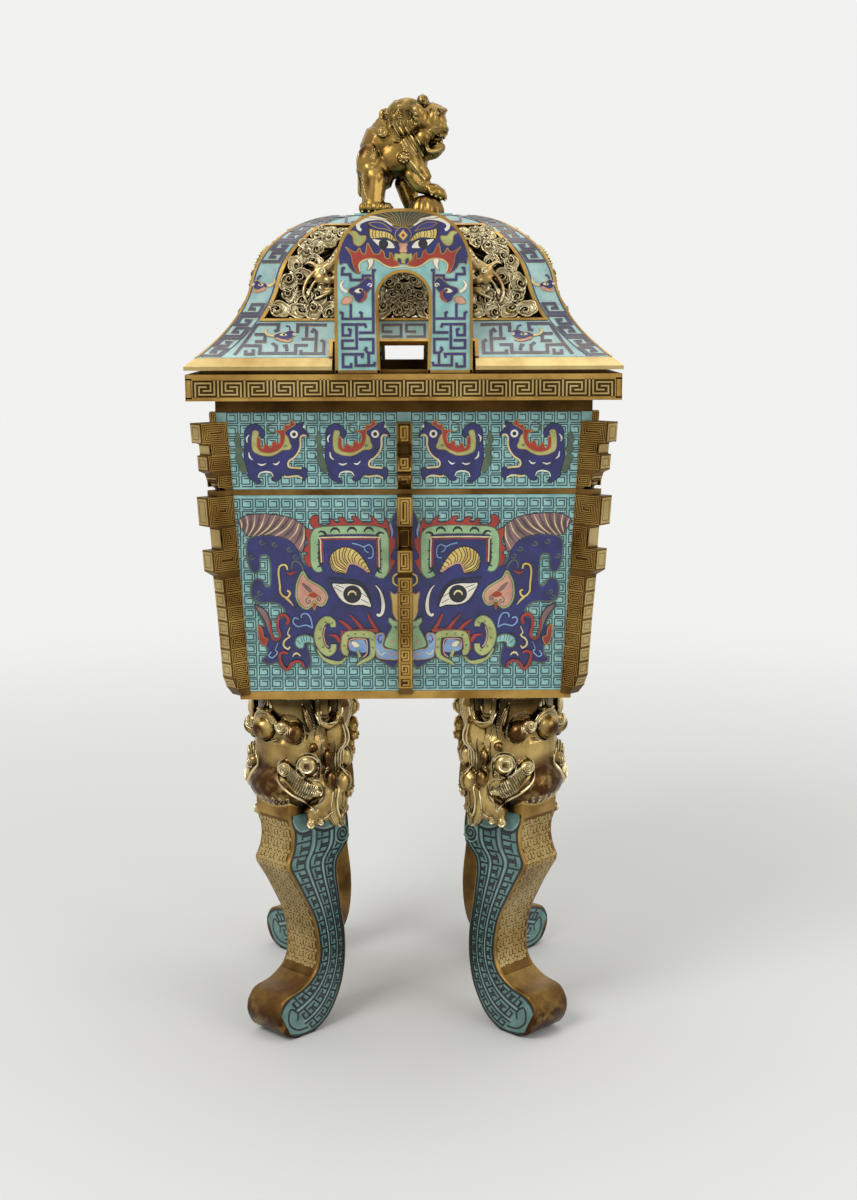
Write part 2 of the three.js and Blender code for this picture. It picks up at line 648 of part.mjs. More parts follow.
function lion() {
  const s = LION_HIGH / LION_DRAWN;
  const at = ([x, y, z]) => [x * s, y * s, LION_Z + z * s];
  const lump = (centre, radii, tilt = 0) => ellipsoid(at(centre), radii.map((r) => r * s), tilt);
  const arm = (from, to, rFrom, rTo) => limb(at(from), at(to), rFrom * s, rTo * s);
  const parts = [
    lump([-27, 0, 44], [21, 24, 24]), // haunch
    lump([-10, 0, 56], [27, 21, 22], -0.5), // trunk
    lump([-20, 0, 68], [24, 20, 24]), // back
    lump([-13, 0, 76], [18, 18, 22], -0.5), // withers
    lump([5, 0, 64], [19, 22, 22]), // chest
    lump([1, 0, 91], [23, 22, 24], -0.4), // mane
    lump([24, 0, 88], [19, 20, 20]), // skull
    lump([30, 0, 99], [13, 14, 12]), // forehead
    lump([35, 0, 92], [10, 12, 11]), // face
    lump([39, 0, 84], [8, 12, 6]), // muzzle
    lump([31, 0, 64], [12, 11, 7], -0.3), // jaw
    lump([20, 0, 111], [7, 8, 8]), // curl on the crown
    lump([39, 0, 102], [6, 11, 4.5]), // brow
    arm([5, 14, 52], [8, 16, 9], 10, 8),
    lump([13, 16, 5], [13, 9, 6]),
    arm([9, -12, 56], [21, -12, 37], 10, 8),
    lump([21, -12, 27], [9, 9, 7]),
    lump([31, -12, 22], [14, 11, 8.5], 0.4), // paw on the ball
    arm([-41, 0, 22], [-40, 0, 46], 5.5, 6.5), // tail
  ];
  for (const side of [-1, 1]) {
    parts.push(arm([-29, 16 * side, 36], [-31, 18 * side, 10], 13, 11));
    parts.push(lump([-27, 19 * side, 6], [18, 11, 7]));
    parts.push(lump([14, 19 * side, 100], [7, 5, 8]));
  }
  const low = LION_Z - FAR;
  const mouth = lump([38, 0, 76], [11, 15, 5], 0.15);
  return unite(parts)
    .subtract(mouth)
    .subtract(box(-FAR, FAR, -FAR, FAR, low, LION_Z))
    .subtract(ball(GAP))
    .subtract(upright(BOLT_R + GAP, LION_Z - CUT, LION_Z + 4 * BOLT_R + GAP, BOLT_X, 0));
}

function addLid() {
  place("lid_shell", lidShell(), enamel);
  place("lid_seat_frame", seatFrame(), gilt);
  for (const side of ["left", "right"]) place("lid_edge_" + side, mouldingHalf(side), gilt);
  const panel = openworkPanel();
  SIDES.forEach((side, i) => place("openwork_panel_" + side, panel, gilt, quarter(i)));

  const long = PLINTH_LONG / 2;
  const wide = PLINTH_WIDE / 2;
  const plinth = box(-long, long, -wide, wide, LID_TOP_Z + GAP, PLINTH_TOP_Z);
  const hole = upright(BOLT_R + GAP, LID_TOP_Z, PLINTH_TOP_Z + CUT, BOLT_X, 0);
  place("finial_plinth", plinth.subtract(hole), gilt);
  place("finial_lion", lion(), gilt);
  place("finial_ball", ball().subtract(box(-FAR, FAR, -FAR, FAR, LION_Z - FAR, LION_Z)), gilt);

  const headTop = LID_TOP_Z - LID_THICK - GAP;
  const shank = upright(BOLT_R, headTop - CUT, LION_Z + 4 * BOLT_R, BOLT_X, 0);
  const head = upright(2 * BOLT_R, headTop - BOLT_HEAD_HIGH, headTop, BOLT_X, 0, 6);
  place("finial_bolt", shank.add(head), darkBronze);
}

// Liner that holds the ash: it hangs by its lip from the ledge in the mouth, inside the lid's collar

function liner() {
  const lipZ = LEDGE_Z + GAP;
  const lipTop = lipZ + LINER_LIP_HIGH;
  const topHalf = LEDGE_HALF - SLIDE_GAP;
  const bottomZ = lipTop - LINER_DEEP;
  const bottomHalf = topHalf - LINER_TAPER;
  const lipHalf = MOUTH_HALF - COLLAR_THICK - 2 * SLIDE_GAP;
  const lip = squareFrustum(lipHalf, lipHalf, lipZ, lipTop);
  const outside = squareFrustum(bottomHalf, topHalf, bottomZ, lipZ + CUT);
  const inside = squareFrustum(bottomHalf - LINER_WALL, topHalf - LINER_WALL, bottomZ + LINER_WALL, lipTop + CUT);
  return outside.add(lip).subtract(inside);
}

addVessel();
addFlanges();
addLegs();
place("handle_front", handle(), enamel);
place("handle_back", handle(), enamel, Math.PI);
addLid();
place("ash_liner", liner(), copper);

export default group;
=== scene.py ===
# %% [markdown]
# A square incense burner in gilt bronze and cloisonne enamel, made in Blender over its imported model. The
# model is loaded as a fixed frame, in metres, with the feet on z = 0 and the front towards -Y, and every
# piece made here is laid on it. The sizes below are in millimetres, as a maker writes them.

# %% The frame
import json
import math

import bmesh
import bpy
from mathutils import Matrix, Vector
from mathutils.bvhtree import BVHTree
from mathutils.geometry import tessellate_polygon

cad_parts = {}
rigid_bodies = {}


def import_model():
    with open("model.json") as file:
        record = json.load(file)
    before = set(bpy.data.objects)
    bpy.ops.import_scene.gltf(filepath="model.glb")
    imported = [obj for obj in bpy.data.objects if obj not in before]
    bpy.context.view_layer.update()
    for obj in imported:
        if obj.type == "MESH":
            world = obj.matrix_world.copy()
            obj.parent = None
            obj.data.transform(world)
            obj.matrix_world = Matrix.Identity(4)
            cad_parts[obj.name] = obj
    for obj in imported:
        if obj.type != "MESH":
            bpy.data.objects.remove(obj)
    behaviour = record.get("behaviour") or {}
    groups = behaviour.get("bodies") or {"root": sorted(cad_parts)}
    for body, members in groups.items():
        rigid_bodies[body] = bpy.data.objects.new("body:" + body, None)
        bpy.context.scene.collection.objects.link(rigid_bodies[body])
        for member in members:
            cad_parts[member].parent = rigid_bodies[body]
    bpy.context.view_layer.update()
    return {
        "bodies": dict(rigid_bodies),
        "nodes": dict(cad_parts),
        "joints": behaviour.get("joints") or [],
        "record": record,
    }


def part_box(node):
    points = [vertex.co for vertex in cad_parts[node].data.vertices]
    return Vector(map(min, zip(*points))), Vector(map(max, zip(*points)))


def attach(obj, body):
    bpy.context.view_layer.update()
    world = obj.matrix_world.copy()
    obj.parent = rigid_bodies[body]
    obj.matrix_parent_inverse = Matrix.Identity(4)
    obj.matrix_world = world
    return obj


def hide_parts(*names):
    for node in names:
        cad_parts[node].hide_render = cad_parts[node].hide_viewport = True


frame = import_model()
nodes = frame["nodes"]

# %% [markdown]
# Colours are written as the eye reads them, in sRGB hex, and a renderer wants them linear. One function
# turns one into the other, and small functions add a node with its settings and its links.

# %% Colour and node helpers
MM = 0.001


def linear(code):
    channels = [int(code[i : i + 2], 16) / 255 for i in (1, 3, 5)]
    return [c / 12.92 if c <= 0.04045 else ((c + 0.055) / 1.055) ** 2.4 for c in channels] + [1.0]


def add_node(tree, kind, settings=None, **links):
    """Adds a node. Settings are its properties or its inputs' values, and links are its inputs' sources."""
    node = tree.nodes.new(kind)
    for name, value in (settings or {}).items():
        if hasattr(node, name):
            setattr(node, name, value)
        else:
            node.inputs[name if not name.isdigit() else int(name)].default_value = value
    for name, source in links.items():
        key = name.replace("_", " ") if not name.startswith("in") else int(name[2:])
        tree.links.new(source, node.inputs[key])
    return node


def new_material(name):
    material = bpy.data.materials.new(name)
    material.use_nodes = True
    tree = material.node_tree
    return material, tree, tree.nodes["Principled BSDF"]


def object_place(tree):
    return add_node(tree, "ShaderNodeTexCoord").outputs["Object"]


def noise(tree, scale, detail):
    settings = {"Scale": scale, "Detail": detail}
    return add_node(tree, "ShaderNodeTexNoise", settings, Vector=object_place(tree)).outputs["Fac"]


def ranged(tree, value, low, high, to_low=0.0, to_high=1.0):
    settings = {"From Min": low, "From Max": high, "To Min": to_low, "To Max": to_high}
    return add_node(tree, "ShaderNodeMapRange", settings, Value=value).outputs[0]


def combined(tree, operation, first, second):
    return add_node(tree, "ShaderNodeMath", {"operation": operation}, in0=first, in1=second).outputs[0]


def mixed(tree, first, second, share):
    """A mix of two colours. Each is a hex code, or the output of another node."""
    mix = add_node(tree, "ShaderNodeMix", {"data_type": "RGBA"}, Factor=share)
    for socket, colour in ((mix.inputs[6], first), (mix.inputs[7], second)):
        if isinstance(colour, str):
            socket.default_value = linear(colour)
        else:
            tree.links.new(colour, socket)
    return mix.outputs[2]


def bumpy(tree, surface, height, strength, depth_mm):
    settings = {"Strength": strength, "Distance": depth_mm * MM}
    bump = add_node(tree, "ShaderNodeBump", settings, Height=height)
    tree.links.new(bump.outputs["Normal"], surface.inputs["Normal"])


# %% [markdown]
# Fire-gilded bronze is cast, chased and coated with a thin skin of gold, worn to brown where hands touch it,
# with patina in the hollows. A noise varies the gold. One occlusion node finds the hollows and darkens them,
# which is patina and also painted shade; another, which looks inside the metal, finds the ridges and paints
# them pale, a painted highlight. One function makes all old metals.

# %% Gilt bronze
# The pale gold on the ridges is a painted highlight.
HIGHLIGHT_REACH = 2.2  # mm, how far a ridge's pale gold spreads
RUBBED_BROWN = "#4A3019"
LOOKS = 6  # rays of an occlusion node


def old_metal(name, bright, worn, hollow_patina_and_shade, reach_mm, rough, ridge=None):
    material, tree, surface = new_material(name)
    tone = mixed(tree, bright, worn, ranged(tree, noise(tree, 26.0, 5.0), 0.36, 0.66))
    # A ridge colour is a painted highlight: convex edges, found by looking inside the metal, are painted
    # pale.
    if ridge:
        within = {"samples": LOOKS, "inside": True, "Distance": HIGHLIGHT_REACH * MM}
        edge = add_node(tree, "ShaderNodeAmbientOcclusion", within)
        tone = mixed(tree, ridge, tone, ranged(tree, edge.outputs["AO"], 0.3, 0.85))
    rubbed = add_node(tree, "ShaderNodeAttribute", {"attribute_name": "rubbed"}).outputs["Fac"]
    patches = ranged(tree, noise(tree, 95.0, 5.0), 0.3, 0.52, 0.35)
    bare = combined(tree, "MULTIPLY", ranged(tree, rubbed, 0.12, 0.66), patches)
    tone = mixed(tree, tone, RUBBED_BROWN, bare)
    # The hollow colour darkens the hollows: patina, and also painted shade.
    corner = add_node(tree, "ShaderNodeAmbientOcclusion", {"samples": LOOKS, "Distance": reach_mm * MM})
    tone = mixed(tree, hollow_patina_and_shade, tone, ranged(tree, corner.outputs["AO"], 0.35, 0.92))
    # Below 0 the attribute paints the hollow colour on: the painted shadow under the vessel on the beast
    # heads.
    tone = mixed(tree, tone, hollow_patina_and_shade, ranged(tree, rubbed, 0.0, -1.0))
    tree.links.new(tone, surface.inputs["Base Color"])
    grain = noise(tree, 420.0, 3.0)
    tree.links.new(ranged(tree, grain, 0.0, 1.0, *rough), surface.inputs["Roughness"])
    bumpy(tree, surface, grain, 0.22, 0.3)
    surface.inputs["Metallic"].default_value = 1.0
    return material


# Each metal's third colour is its hollow colour, patina and painted shade; a last colour, where given, paints
# its ridges pale as a painted highlight.
GILT = old_metal("fire_gilded_bronze", "#BF9A54", "#8E6A33", "#33220C", 4.5, (0.3, 0.5))
LEG_GILT = old_metal("handled_gilding", "#AE8C4C", "#6A4A25", "#24170A", 9.0, (0.24, 0.44), "#C8AC6C")
# A paler gilt for the lid's edge, the rim's fret lines, the corner flanges' plates and the shins' scrolls: a
# painted sheen of white light.
SHEEN_GILT = old_metal("rubbed_bright_gilding", "#C4AE78", "#A58A54", "#4A3415", 3.5, (0.3, 0.48))
FIGURE_GILT = old_metal("gilt_figure", "#A98A4A", "#6B4F26", "#160D05", 8.0, (0.18, 0.38), "#BDA266")
MASK_GILT = old_metal("gilt_mask", "#C6AA6A", "#785A32", "#100904", 12.0, (0.16, 0.36), "#EAD8A8")
OPENWORK_GILT = old_metal("gilt_openwork", "#CBB27A", "#9E8252", "#1E140A", 6.0, (0.24, 0.44), "#E4D6AC")
GILT_GROUND = old_metal("browned_gilding", "#846638", "#5C421F", "#241708", 3.0, (0.34, 0.56))
GROOVE = old_metal("dark_groove_patina", "#604622", "#3E2D15", "#2A1C0C", 2.0, (0.5, 0.7))
ENGRAVED = old_metal("engraved_line", "#7E5E30", "#4E391B", "#2C1D0B", 2.0, (0.4, 0.6))
DARK_BRONZE = old_metal("bare_bronze", "#8A6A38", "#5A431F", "#33220C", 5.0, (0.4, 0.6))
COPPER = old_metal("old_copper", "#8C5533", "#54352A", "#1E1410", 20.0, (0.42, 0.66))
print(len(bpy.data.materials), "metals are ready")

# %% [markdown]
# Cloisonne enamel is glass, fired in cells between thin wires soldered on the metal, and polished flat. It
# is glossy and a little cloudy, with tiny pits. One function makes a colour from a light and a dark shade.

# %% Enamels
PIT_PITCH = 2.2  # mm between pits, drawn coarser than the real ones so that they show


def enamel(name, light, dark):
    material, tree, surface = new_material(name)
    shade = mixed(tree, light, dark, ranged(tree, noise(tree, 75.0, 6.0), 0.34, 0.7))
    pits = add_node(tree, "ShaderNodeTexVoronoi", {"Scale": 1 / (PIT_PITCH * MM)}, Vector=object_place(tree))
    smooth_share = ranged(tree, pits.outputs["Distance"], 0.06, 0.16)
    tree.links.new(mixed(tree, "#2B2A26", shade, smooth_share), surface.inputs["Base Color"])
    bumpy(tree, surface, smooth_share, 0.3, 0.2)
    for name, value in (("Roughness", 0.3), ("Coat Weight", 0.25), ("Coat Roughness", 0.12)):
        surface.inputs[name].default_value = value
    return material


TURQUOISE = enamel("turquoise_enamel", "#96C3BE", "#74A6A5")
LINE_TEAL = enamel("dark_teal_cloison_line", "#26464C", "#192F34")
# The lid's turquoise is a paler copy of the walls' turquoise, painted as lit from above.
TOPLIT_TURQUOISE = enamel("pale_turquoise_enamel", "#A6C5C1", "#84A8A8")
SLATE = enamel("slate_blue_enamel", "#474B66", "#343850")
COBALT = enamel("cobalt_enamel", "#26296C", "#1A1C4C")
NAVY = enamel("navy_enamel", "#2B306E", "#1E234E")
RED = enamel("red_enamel", "#A83222", "#80261A")
YELLOW = enamel("yellow_enamel", "#D9C070", "#BFA04C")
CREAM = enamel("cream_enamel", "#DFD0A0", "#C4AE78")
LIGHT_GREEN = enamel("pale_green_enamel", "#9DBB8C", "#789E70")
LIME = enamel("yellow_green_enamel", "#AEB473", "#8B9454")
DARK_GREEN = enamel("dark_green_enamel", "#566650", "#3B4A39")
CROWN_GREEN = enamel("crown_green_enamel", "#37463F", "#26332E")
PINK = enamel("pink_enamel", "#CE9C84", "#B07866")
MAUVE = enamel("mauve_enamel", "#8A6A6A", "#664C50")
PLUM = enamel("plum_enamel", "#5F484C", "#47353A")
SKY = enamel("light_blue_enamel", "#86A8CC", "#6484B2")
WHITE = enamel("white_enamel", "#E4E0D2", "#CCC6B4")
BLACK = enamel("black_enamel", "#16171C", "#0D0E12")
# The legs' enamels are greyer and darker, partly their own colour and partly painted shade on the lower legs.
LEG_TEAL = enamel("grey_green_enamel", "#6A8F88", "#4C6E69")
LEG_LIGHT = enamel("pale_leg_enamel", "#92AAA5", "#748F8C")
NIGHT_BLUE = enamel("night_blue_enamel", "#142126", "#0D1518")
WIRE = old_metal("gilt_cloison_wire", "#BF9C55", "#856732", "#3A2810", 1.0, (0.24, 0.46))
print(len(bpy.data.materials), "materials with the enamels and the wire")

# %% [markdown]
# Nearly all the ornament is flat work: bars such as the lines of a fret, and tiles such as an eye. A Sheet
# collects them in a flat drawing, in millimetres, each one a thin closed solid with its own finish. A
# surface function says where a point of the drawing lies on the object, be it a wall, the lid or a leg.

# %% Lines
def rectangle(x0, x1, z0, z1):
    return [(x0, z0), (x1, z0), (x1, z1), (x0, z1)]


def lengths(path):
    """How far each point of a path lies along it."""
    run = [0.0]
    for a, b in zip(path, path[1:]):
        run.append(run[-1] + math.dist(a, b))
    return run


def step_at(run, s):
    """The step of a rising row of numbers that holds s, and the share of the step below s."""
    s = min(max(s, run[0]), run[-1])
    i = max(k for k in range(len(run) - 1) if run[k] <= s)
    return i, (s - run[i]) / (run[i + 1] - run[i])


def smooth(points, steps=5, closed=False):
    """A Catmull-Rom curve through the given points."""
    count = len(points)
    spans = count if closed else count - 1
    run = []
    for i in range(spans):
        near = [points[(i + k) % count if closed else min(max(i + k, 0), count - 1)] for k in (-1, 0, 1, 2)]
        for step in range(steps):
            t = step / steps
            weights = (
                (-t + 2 * t * t - t**3) / 2,
                (2 - 5 * t * t + 3 * t**3) / 2,
                (t + 4 * t * t - 3 * t**3) / 2,
                (t**3 - t * t) / 2,
            )
            run.append(tuple(sum(w * p[axis] for w, p in zip(weights, near)) for axis in range(len(near[0]))))
    return run if closed else run + [tuple(points[-1])]


def spiral(centre, radius, turns, start=0.0, inner=0.0, steps=10):
    """A curl from its outer end inwards. Turns are anticlockwise, or clockwise where negative."""
    count = max(4, round(abs(turns) * steps))
    run = []
    for i in range(count + 1):
        share = i / count
        angle = math.radians(start) + share * turns * 2 * math.pi
        reach = radius + (inner - radius) * share
        run.append((centre[0] + reach * math.cos(angle), centre[1] + reach * math.sin(angle)))
    return run


def spread(values, count):
    """One value, or a start, middle and end value, spread over a number of points."""
    if not isinstance(values, (tuple, list)):
        return [values] * count
    first, middle, end = values
    shares = [2 * i / max(count - 1, 1) for i in range(count)]
    return [first + (middle - first) * t if t < 1 else middle + (end - middle) * (t - 1) for t in shares]


# %% The sheet of flat work
LONGEST_MITRE = 1.6  # of a bar's half-width, at a sharp corner
TINY = 1e-6  # points closer than this are one point


class Sheet:
    """Tiles and bars drawn flat in millimetres. Heights are measured up from the surface."""

    def __init__(self, place=lambda u, v: (u, v)):
        self.points = []
        self.faces = []
        self.finishes = []
        self.marks = []
        self.place = place

    def mark(self, finish, faces):
        if finish not in self.finishes:
            self.finishes.append(finish)
        self.marks += [self.finishes.index(finish)] * len(faces)
        self.faces += faces

    def tile(self, outline, finish, top=0.4, low=-0.3):
        """A flat cell with the given closed outline."""
        flat = [self.place(*p) for p in outline]
        doubled = sum(a[0] * b[1] - b[0] * a[1] for a, b in zip(flat, flat[1:] + flat[:1]))
        if doubled < 0:
            flat.reverse()
        first = len(self.points)
        count = len(flat)
        self.points += [(x, y, low) for x, y in flat] + [(x, y, top) for x, y in flat]
        faces = []
        corners = [Vector(p) for p in flat]
        for a, b, c in tessellate_polygon([[p.to_3d() for p in corners]]):
            if (corners[b] - corners[a]).cross(corners[c] - corners[a]) < 0:
                b, c = c, b
            faces.append((first + count + a, first + count + b, first + count + c))
            faces.append((first + c, first + b, first + a))
        for i in range(count):
            j = (i + 1) % count
            faces.append((first + i, first + j, first + count + j, first + count + i))
        self.mark(finish, faces)

    def bar(self, path, width, finish, top=0.4, low=-0.3, closed=False, bottom=True):
        """A bar along a path. Width is one number, or one for each end of the path and its middle."""
        flat = [self.place(*p) for p in path]
        count = len(flat)
        first = len(self.points)
        widths = spread(width, count)
        for i, (x, y) in enumerate(flat):
            before = flat[(i - 1) % count if closed else max(i - 1, 0)]
            after = flat[(i + 1) % count if closed else min(i + 1, count - 1)]
            into = Vector((x - before[0], y - before[1]))
            out = Vector((after[0] - x, after[1] - y))
            into = into.normalized() if into.length > TINY else out.normalized()
            out = out.normalized() if out.length > TINY else into
            mean = (into + out).normalized() if (into + out).length > TINY else into
            mitre = min(1 / max(mean.dot(into), 0.5), LONGEST_MITRE)
            side = Vector((-mean.y, mean.x)) * widths[i] / 2 * mitre
            for height in (low, top):
                self.points.append((x + side.x, y + side.y, height))
                self.points.append((x - side.x, y - side.y, height))
        faces = []
        for i in range(count if closed else count - 1):
            a, b = first + 4 * i, first + 4 * ((i + 1) % count)
            faces += [(a + 2, a + 3, b + 3, b + 2), (b, b + 2, a + 2, a)[::-1], (a + 1, b + 1, b + 3, a + 3)]
            if bottom:
                faces.append((a + 1, a, b, b + 1))
        if not closed:
            end = first + 4 * (count - 1)
            faces += [(first, first + 1, first + 3, first + 2), (end + 1, end, end + 2, end + 3)]
        self.mark(finish, faces)


# %% [markdown]
# A finished drawing becomes a Blender piece: its points go through the surface function, copies are turned
# to the sides that carry them, and the whole is one mesh with one slot for each finish.

# %% From sheets to pieces
ALL_SIDES = (0, 1, 2, 3)
FRONT_AND_BACK = (0, 2)
CORNERS = (("front_right", -45), ("back_right", 45), ("back_left", 135), ("front_left", 225))


def quarter_turn(count):
    return Matrix.Rotation(count * math.pi / 2, 3, "Z")


def linked(name, data):
    """A new object that stands in the scene."""
    made = bpy.data.objects.new(name, data)
    bpy.context.scene.collection.objects.link(made)
    return made


def mesh_from(name, form):
    """The mesh of a bmesh, which is freed."""
    mesh = bpy.data.meshes.new(name)
    form.to_mesh(mesh)
    form.free()
    return mesh


def shaded(mesh, degrees):
    """Smooth shading, with the edges from an angle upwards kept sharp."""
    mesh.polygons.foreach_set("use_smooth", [True] * len(mesh.polygons))
    mesh.set_sharp_from_angle(angle=math.radians(degrees))
    return mesh


def mesh_of(name, vertices, faces, finishes, marks=None):
    mesh = bpy.data.meshes.new(name)
    mesh.from_pydata([tuple(v) for v in vertices], [], faces)
    for finish in finishes:
        mesh.materials.append(finish)
    if marks:
        mesh.polygons.foreach_set("material_index", marks)
    mesh.update()
    return mesh


def piece(mesh, body, replaces=()):
    made = linked(mesh.name, mesh)
    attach(made, body)
    if replaces:
        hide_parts(*replaces)
    print(mesh.name, len(mesh.polygons), "faces")


def turned_pieces(mesh, name, places, body, replaced):
    """Copies of one mesh, each turned about the vessel's axis and put in place of a piece of the frame."""
    for place, degrees in places:
        copy = mesh.copy()
        copy.transform(Matrix.Rotation(math.radians(degrees), 4, "Z"))
        copy.name = f"{name}_{place}"
        piece(copy, body, (f"{replaced}_{place}",))
    bpy.data.meshes.remove(mesh)


def lay(name, body, sheets):
    """Makes one piece of several (sheet, surface, turns) sets."""
    vertices, faces, marks, finishes = [], [], [], []
    for sheet, surface, turns in sheets:
        for finish in sheet.finishes:
            if finish not in finishes:
                finishes.append(finish)
        index = [finishes.index(finish) for finish in sheet.finishes]
        for turn in turns:
            first = len(vertices)
            spin = quarter_turn(turn)
            vertices += [spin @ (Vector(surface(*p)) * MM) for p in sheet.points]
            faces += [tuple(first + i for i in face) for face in sheet.faces]
            marks += [index[m] for m in sheet.marks]
    piece(mesh_of(name, vertices, faces, finishes, marks), body)


# %% [markdown]
# A fret repeats one small unit hundreds of times, which is work for Geometry Nodes: a grid of points, the
# unit set on each point, and the instances made real. The tree takes the numbers of columns and rows, the
# two pitches and the finish as named inputs. The result is a flat sheet again, ready to be laid.

# %% The repeating tree
def node_tree(name, inputs):
    """A tree with named inputs and one geometry output, and the sockets that bring the inputs in."""
    tree = bpy.data.node_groups.new(name, "GeometryNodeTree")
    for label, kind in inputs.items():
        tree.interface.new_socket(label, in_out="INPUT", socket_type="NodeSocket" + kind)
    tree.interface.new_socket("Geometry", in_out="OUTPUT", socket_type="NodeSocketGeometry")
    return tree, add_node(tree, "NodeGroupInput").outputs


def made_real(tree, copies, finish):
    """The end of a tree: its instances are made real and get their finish."""
    real = add_node(tree, "GeometryNodeRealizeInstances", Geometry=copies.outputs[0])
    coated = add_node(tree, "GeometryNodeSetMaterial", Geometry=real.outputs[0], Material=finish)
    add_node(tree, "NodeGroupOutput", in0=coated.outputs[0])
    return tree


def repeat_tree():
    kinds = {"Unit": "Geometry", "Columns": "Int", "Rows": "Int"}
    kinds.update({"Column Pitch": "Float", "Row Pitch": "Float", "Finish": "Material"})
    tree, given = node_tree("repeat_on_a_grid", kinds)
    sizes = []
    for count, pitch in (("Columns", "Column Pitch"), ("Rows", "Row Pitch")):
        gaps = add_node(tree, "ShaderNodeMath", {"operation": "SUBTRACT", "1": 1.0}, in0=given[count])
        sizes.append(combined(tree, "MULTIPLY", gaps.outputs[0], given[pitch]))
    counts = {"Vertices_X": given["Columns"], "Vertices_Y": given["Rows"]}
    grid = add_node(tree, "GeometryNodeMeshGrid", Size_X=sizes[0], Size_Y=sizes[1], **counts)
    spots = grid.outputs["Mesh"]
    copies = add_node(tree, "GeometryNodeInstanceOnPoints", Points=spots, Instance=given["Unit"])
    return made_real(tree, copies, given["Finish"])


REPEAT = repeat_tree()


def evaluated(carrier):
    """The plain mesh that an object's modifiers give. The object is removed."""
    depsgraph = bpy.context.evaluated_depsgraph_get()
    depsgraph.update()
    made = bpy.data.meshes.new_from_object(carrier.evaluated_get(depsgraph))
    bpy.data.objects.remove(carrier)
    return made


def grown(mesh, tree, **inputs):
    """Runs a Geometry Nodes tree on a mesh and returns the plain mesh that comes out."""
    carrier = linked("carrier", mesh)
    modifier = carrier.modifiers.new("nodes", "NODES")
    modifier.node_group = tree
    for socket in tree.interface.items_tree:
        key = socket.name.replace(" ", "_")
        if socket.in_out == "INPUT" and key in inputs:
            modifier[socket.identifier] = inputs[key]
    return evaluated(carrier)


def repeated(unit, columns, rows, column_pitch, row_pitch, centre=(0.0, 0.0)):
    """A sheet that holds the unit sheet on a grid of columns and rows."""
    finish = unit.finishes[0]
    flat = mesh_of("unit", unit.points, unit.faces, [finish])
    pitches = {"Column_Pitch": column_pitch, "Row_Pitch": row_pitch}
    made = grown(flat, REPEAT, Columns=columns, Rows=rows, Finish=finish, **pitches)
    sheet = Sheet()
    sheet.points = [(v.co.x + centre[0], v.co.y + centre[1], v.co.z) for v in made.vertices]
    sheet.mark(finish, [tuple(p.vertices) for p in made.polygons])
    return sheet


print("drawing tools are ready")

# %% [markdown]
# The cast pieces, such as the beast heads and the lion, are built as a modeller works in wax: lumps and
# arms are pressed together, fused into one skin and smoothed, and then strands, curls, rings and beads are
# laid on the skin. A strand's points are found by looking at the skin from its side of the piece, so it
# follows every swell. Sizes are in millimetres until the piece is finished.

# %% Cast forms
THREAD = [(-1.0, -0.5), (-0.72, 0.55), (0.0, 1.0), (0.72, 0.55), (1.0, -0.5)]
ROUND = [(math.cos(math.tau * i / 8), math.sin(math.tau * i / 8)) for i in range(8)]


def add_rings(form, rings):
    """Faces from each ring of points to the next, and over both ends."""
    for low, high in zip(rings, rings[1:]):
        for j in range(len(low)):
            k = (j + 1) % len(low)
            form.faces.new((low[j], low[k], high[k], high[j]))
    form.faces.new(rings[0][::-1])
    form.faces.new(rings[-1])


def add_tube(target, centres, ups, widths, heights, section):
    """A closed tube of the given section along centres, with its height along the ups."""
    rings = []
    last = len(centres) - 1
    for i, (centre, up) in enumerate(zip(centres, ups)):
        way = (centres[min(i + 1, last)] - centres[max(i - 1, 0)]).normalized()
        side = way.cross(up).normalized()
        rise = side.cross(way)
        wide, high = side * widths[i] / 2, rise * heights[i]
        rings.append([target.verts.new(centre + wide * a + high * b) for a, b in section])
    add_rings(target, rings)


WELD = 0.02


class Casting:
    """Lumps and arms that are fused into one skin."""

    def __init__(self, start=None):
        self.wax = bmesh.new()
        if start:
            self.wax.from_mesh(start)
            bmesh.ops.scale(self.wax, vec=(1 / MM,) * 3, verts=self.wax.verts)
            bmesh.ops.remove_doubles(self.wax, verts=self.wax.verts[:], dist=WELD)

    def lump(self, centre, radii, lean=0.0):
        """An ellipsoid, leaning about the Y axis by an angle in degrees."""
        turn = Matrix.Rotation(math.radians(lean), 3, "Y").to_quaternion()
        place = Matrix.LocRotScale(Vector(centre), turn, Vector(radii))
        bmesh.ops.create_icosphere(self.wax, subdivisions=3, radius=1.0, matrix=place)

    def arm(self, path, radii, steps=4):
        """A round arm along a smooth path, with one radius or a start, middle and end radius."""
        run = [Vector(p) for p in smooth(path, steps)]
        sizes = spread(radii, len(run))
        ups = [(b - a).orthogonal() for a, b in zip(run, run[1:] + [run[-1] * 2 - run[-2]])]
        for i in range(1, len(ups)):
            ups[i] = ups[i - 1]
        add_tube(self.wax, run, ups, [2 * s for s in sizes], sizes, ROUND)
        self.lump(run[0], (sizes[0],) * 3)
        self.lump(run[-1], (sizes[-1],) * 3)

    def fused(self, voxel, rounds=4):
        carrier = linked("wax", mesh_from("wax", self.wax))
        skin = carrier.modifiers.new("skin", "REMESH")
        skin.mode = "VOXEL"
        skin.voxel_size = voxel
        soften = carrier.modifiers.new("soften", "SMOOTH")
        soften.factor = 0.5
        soften.iterations = rounds
        return evaluated(carrier)


CAST_SHARP = 50  # degrees


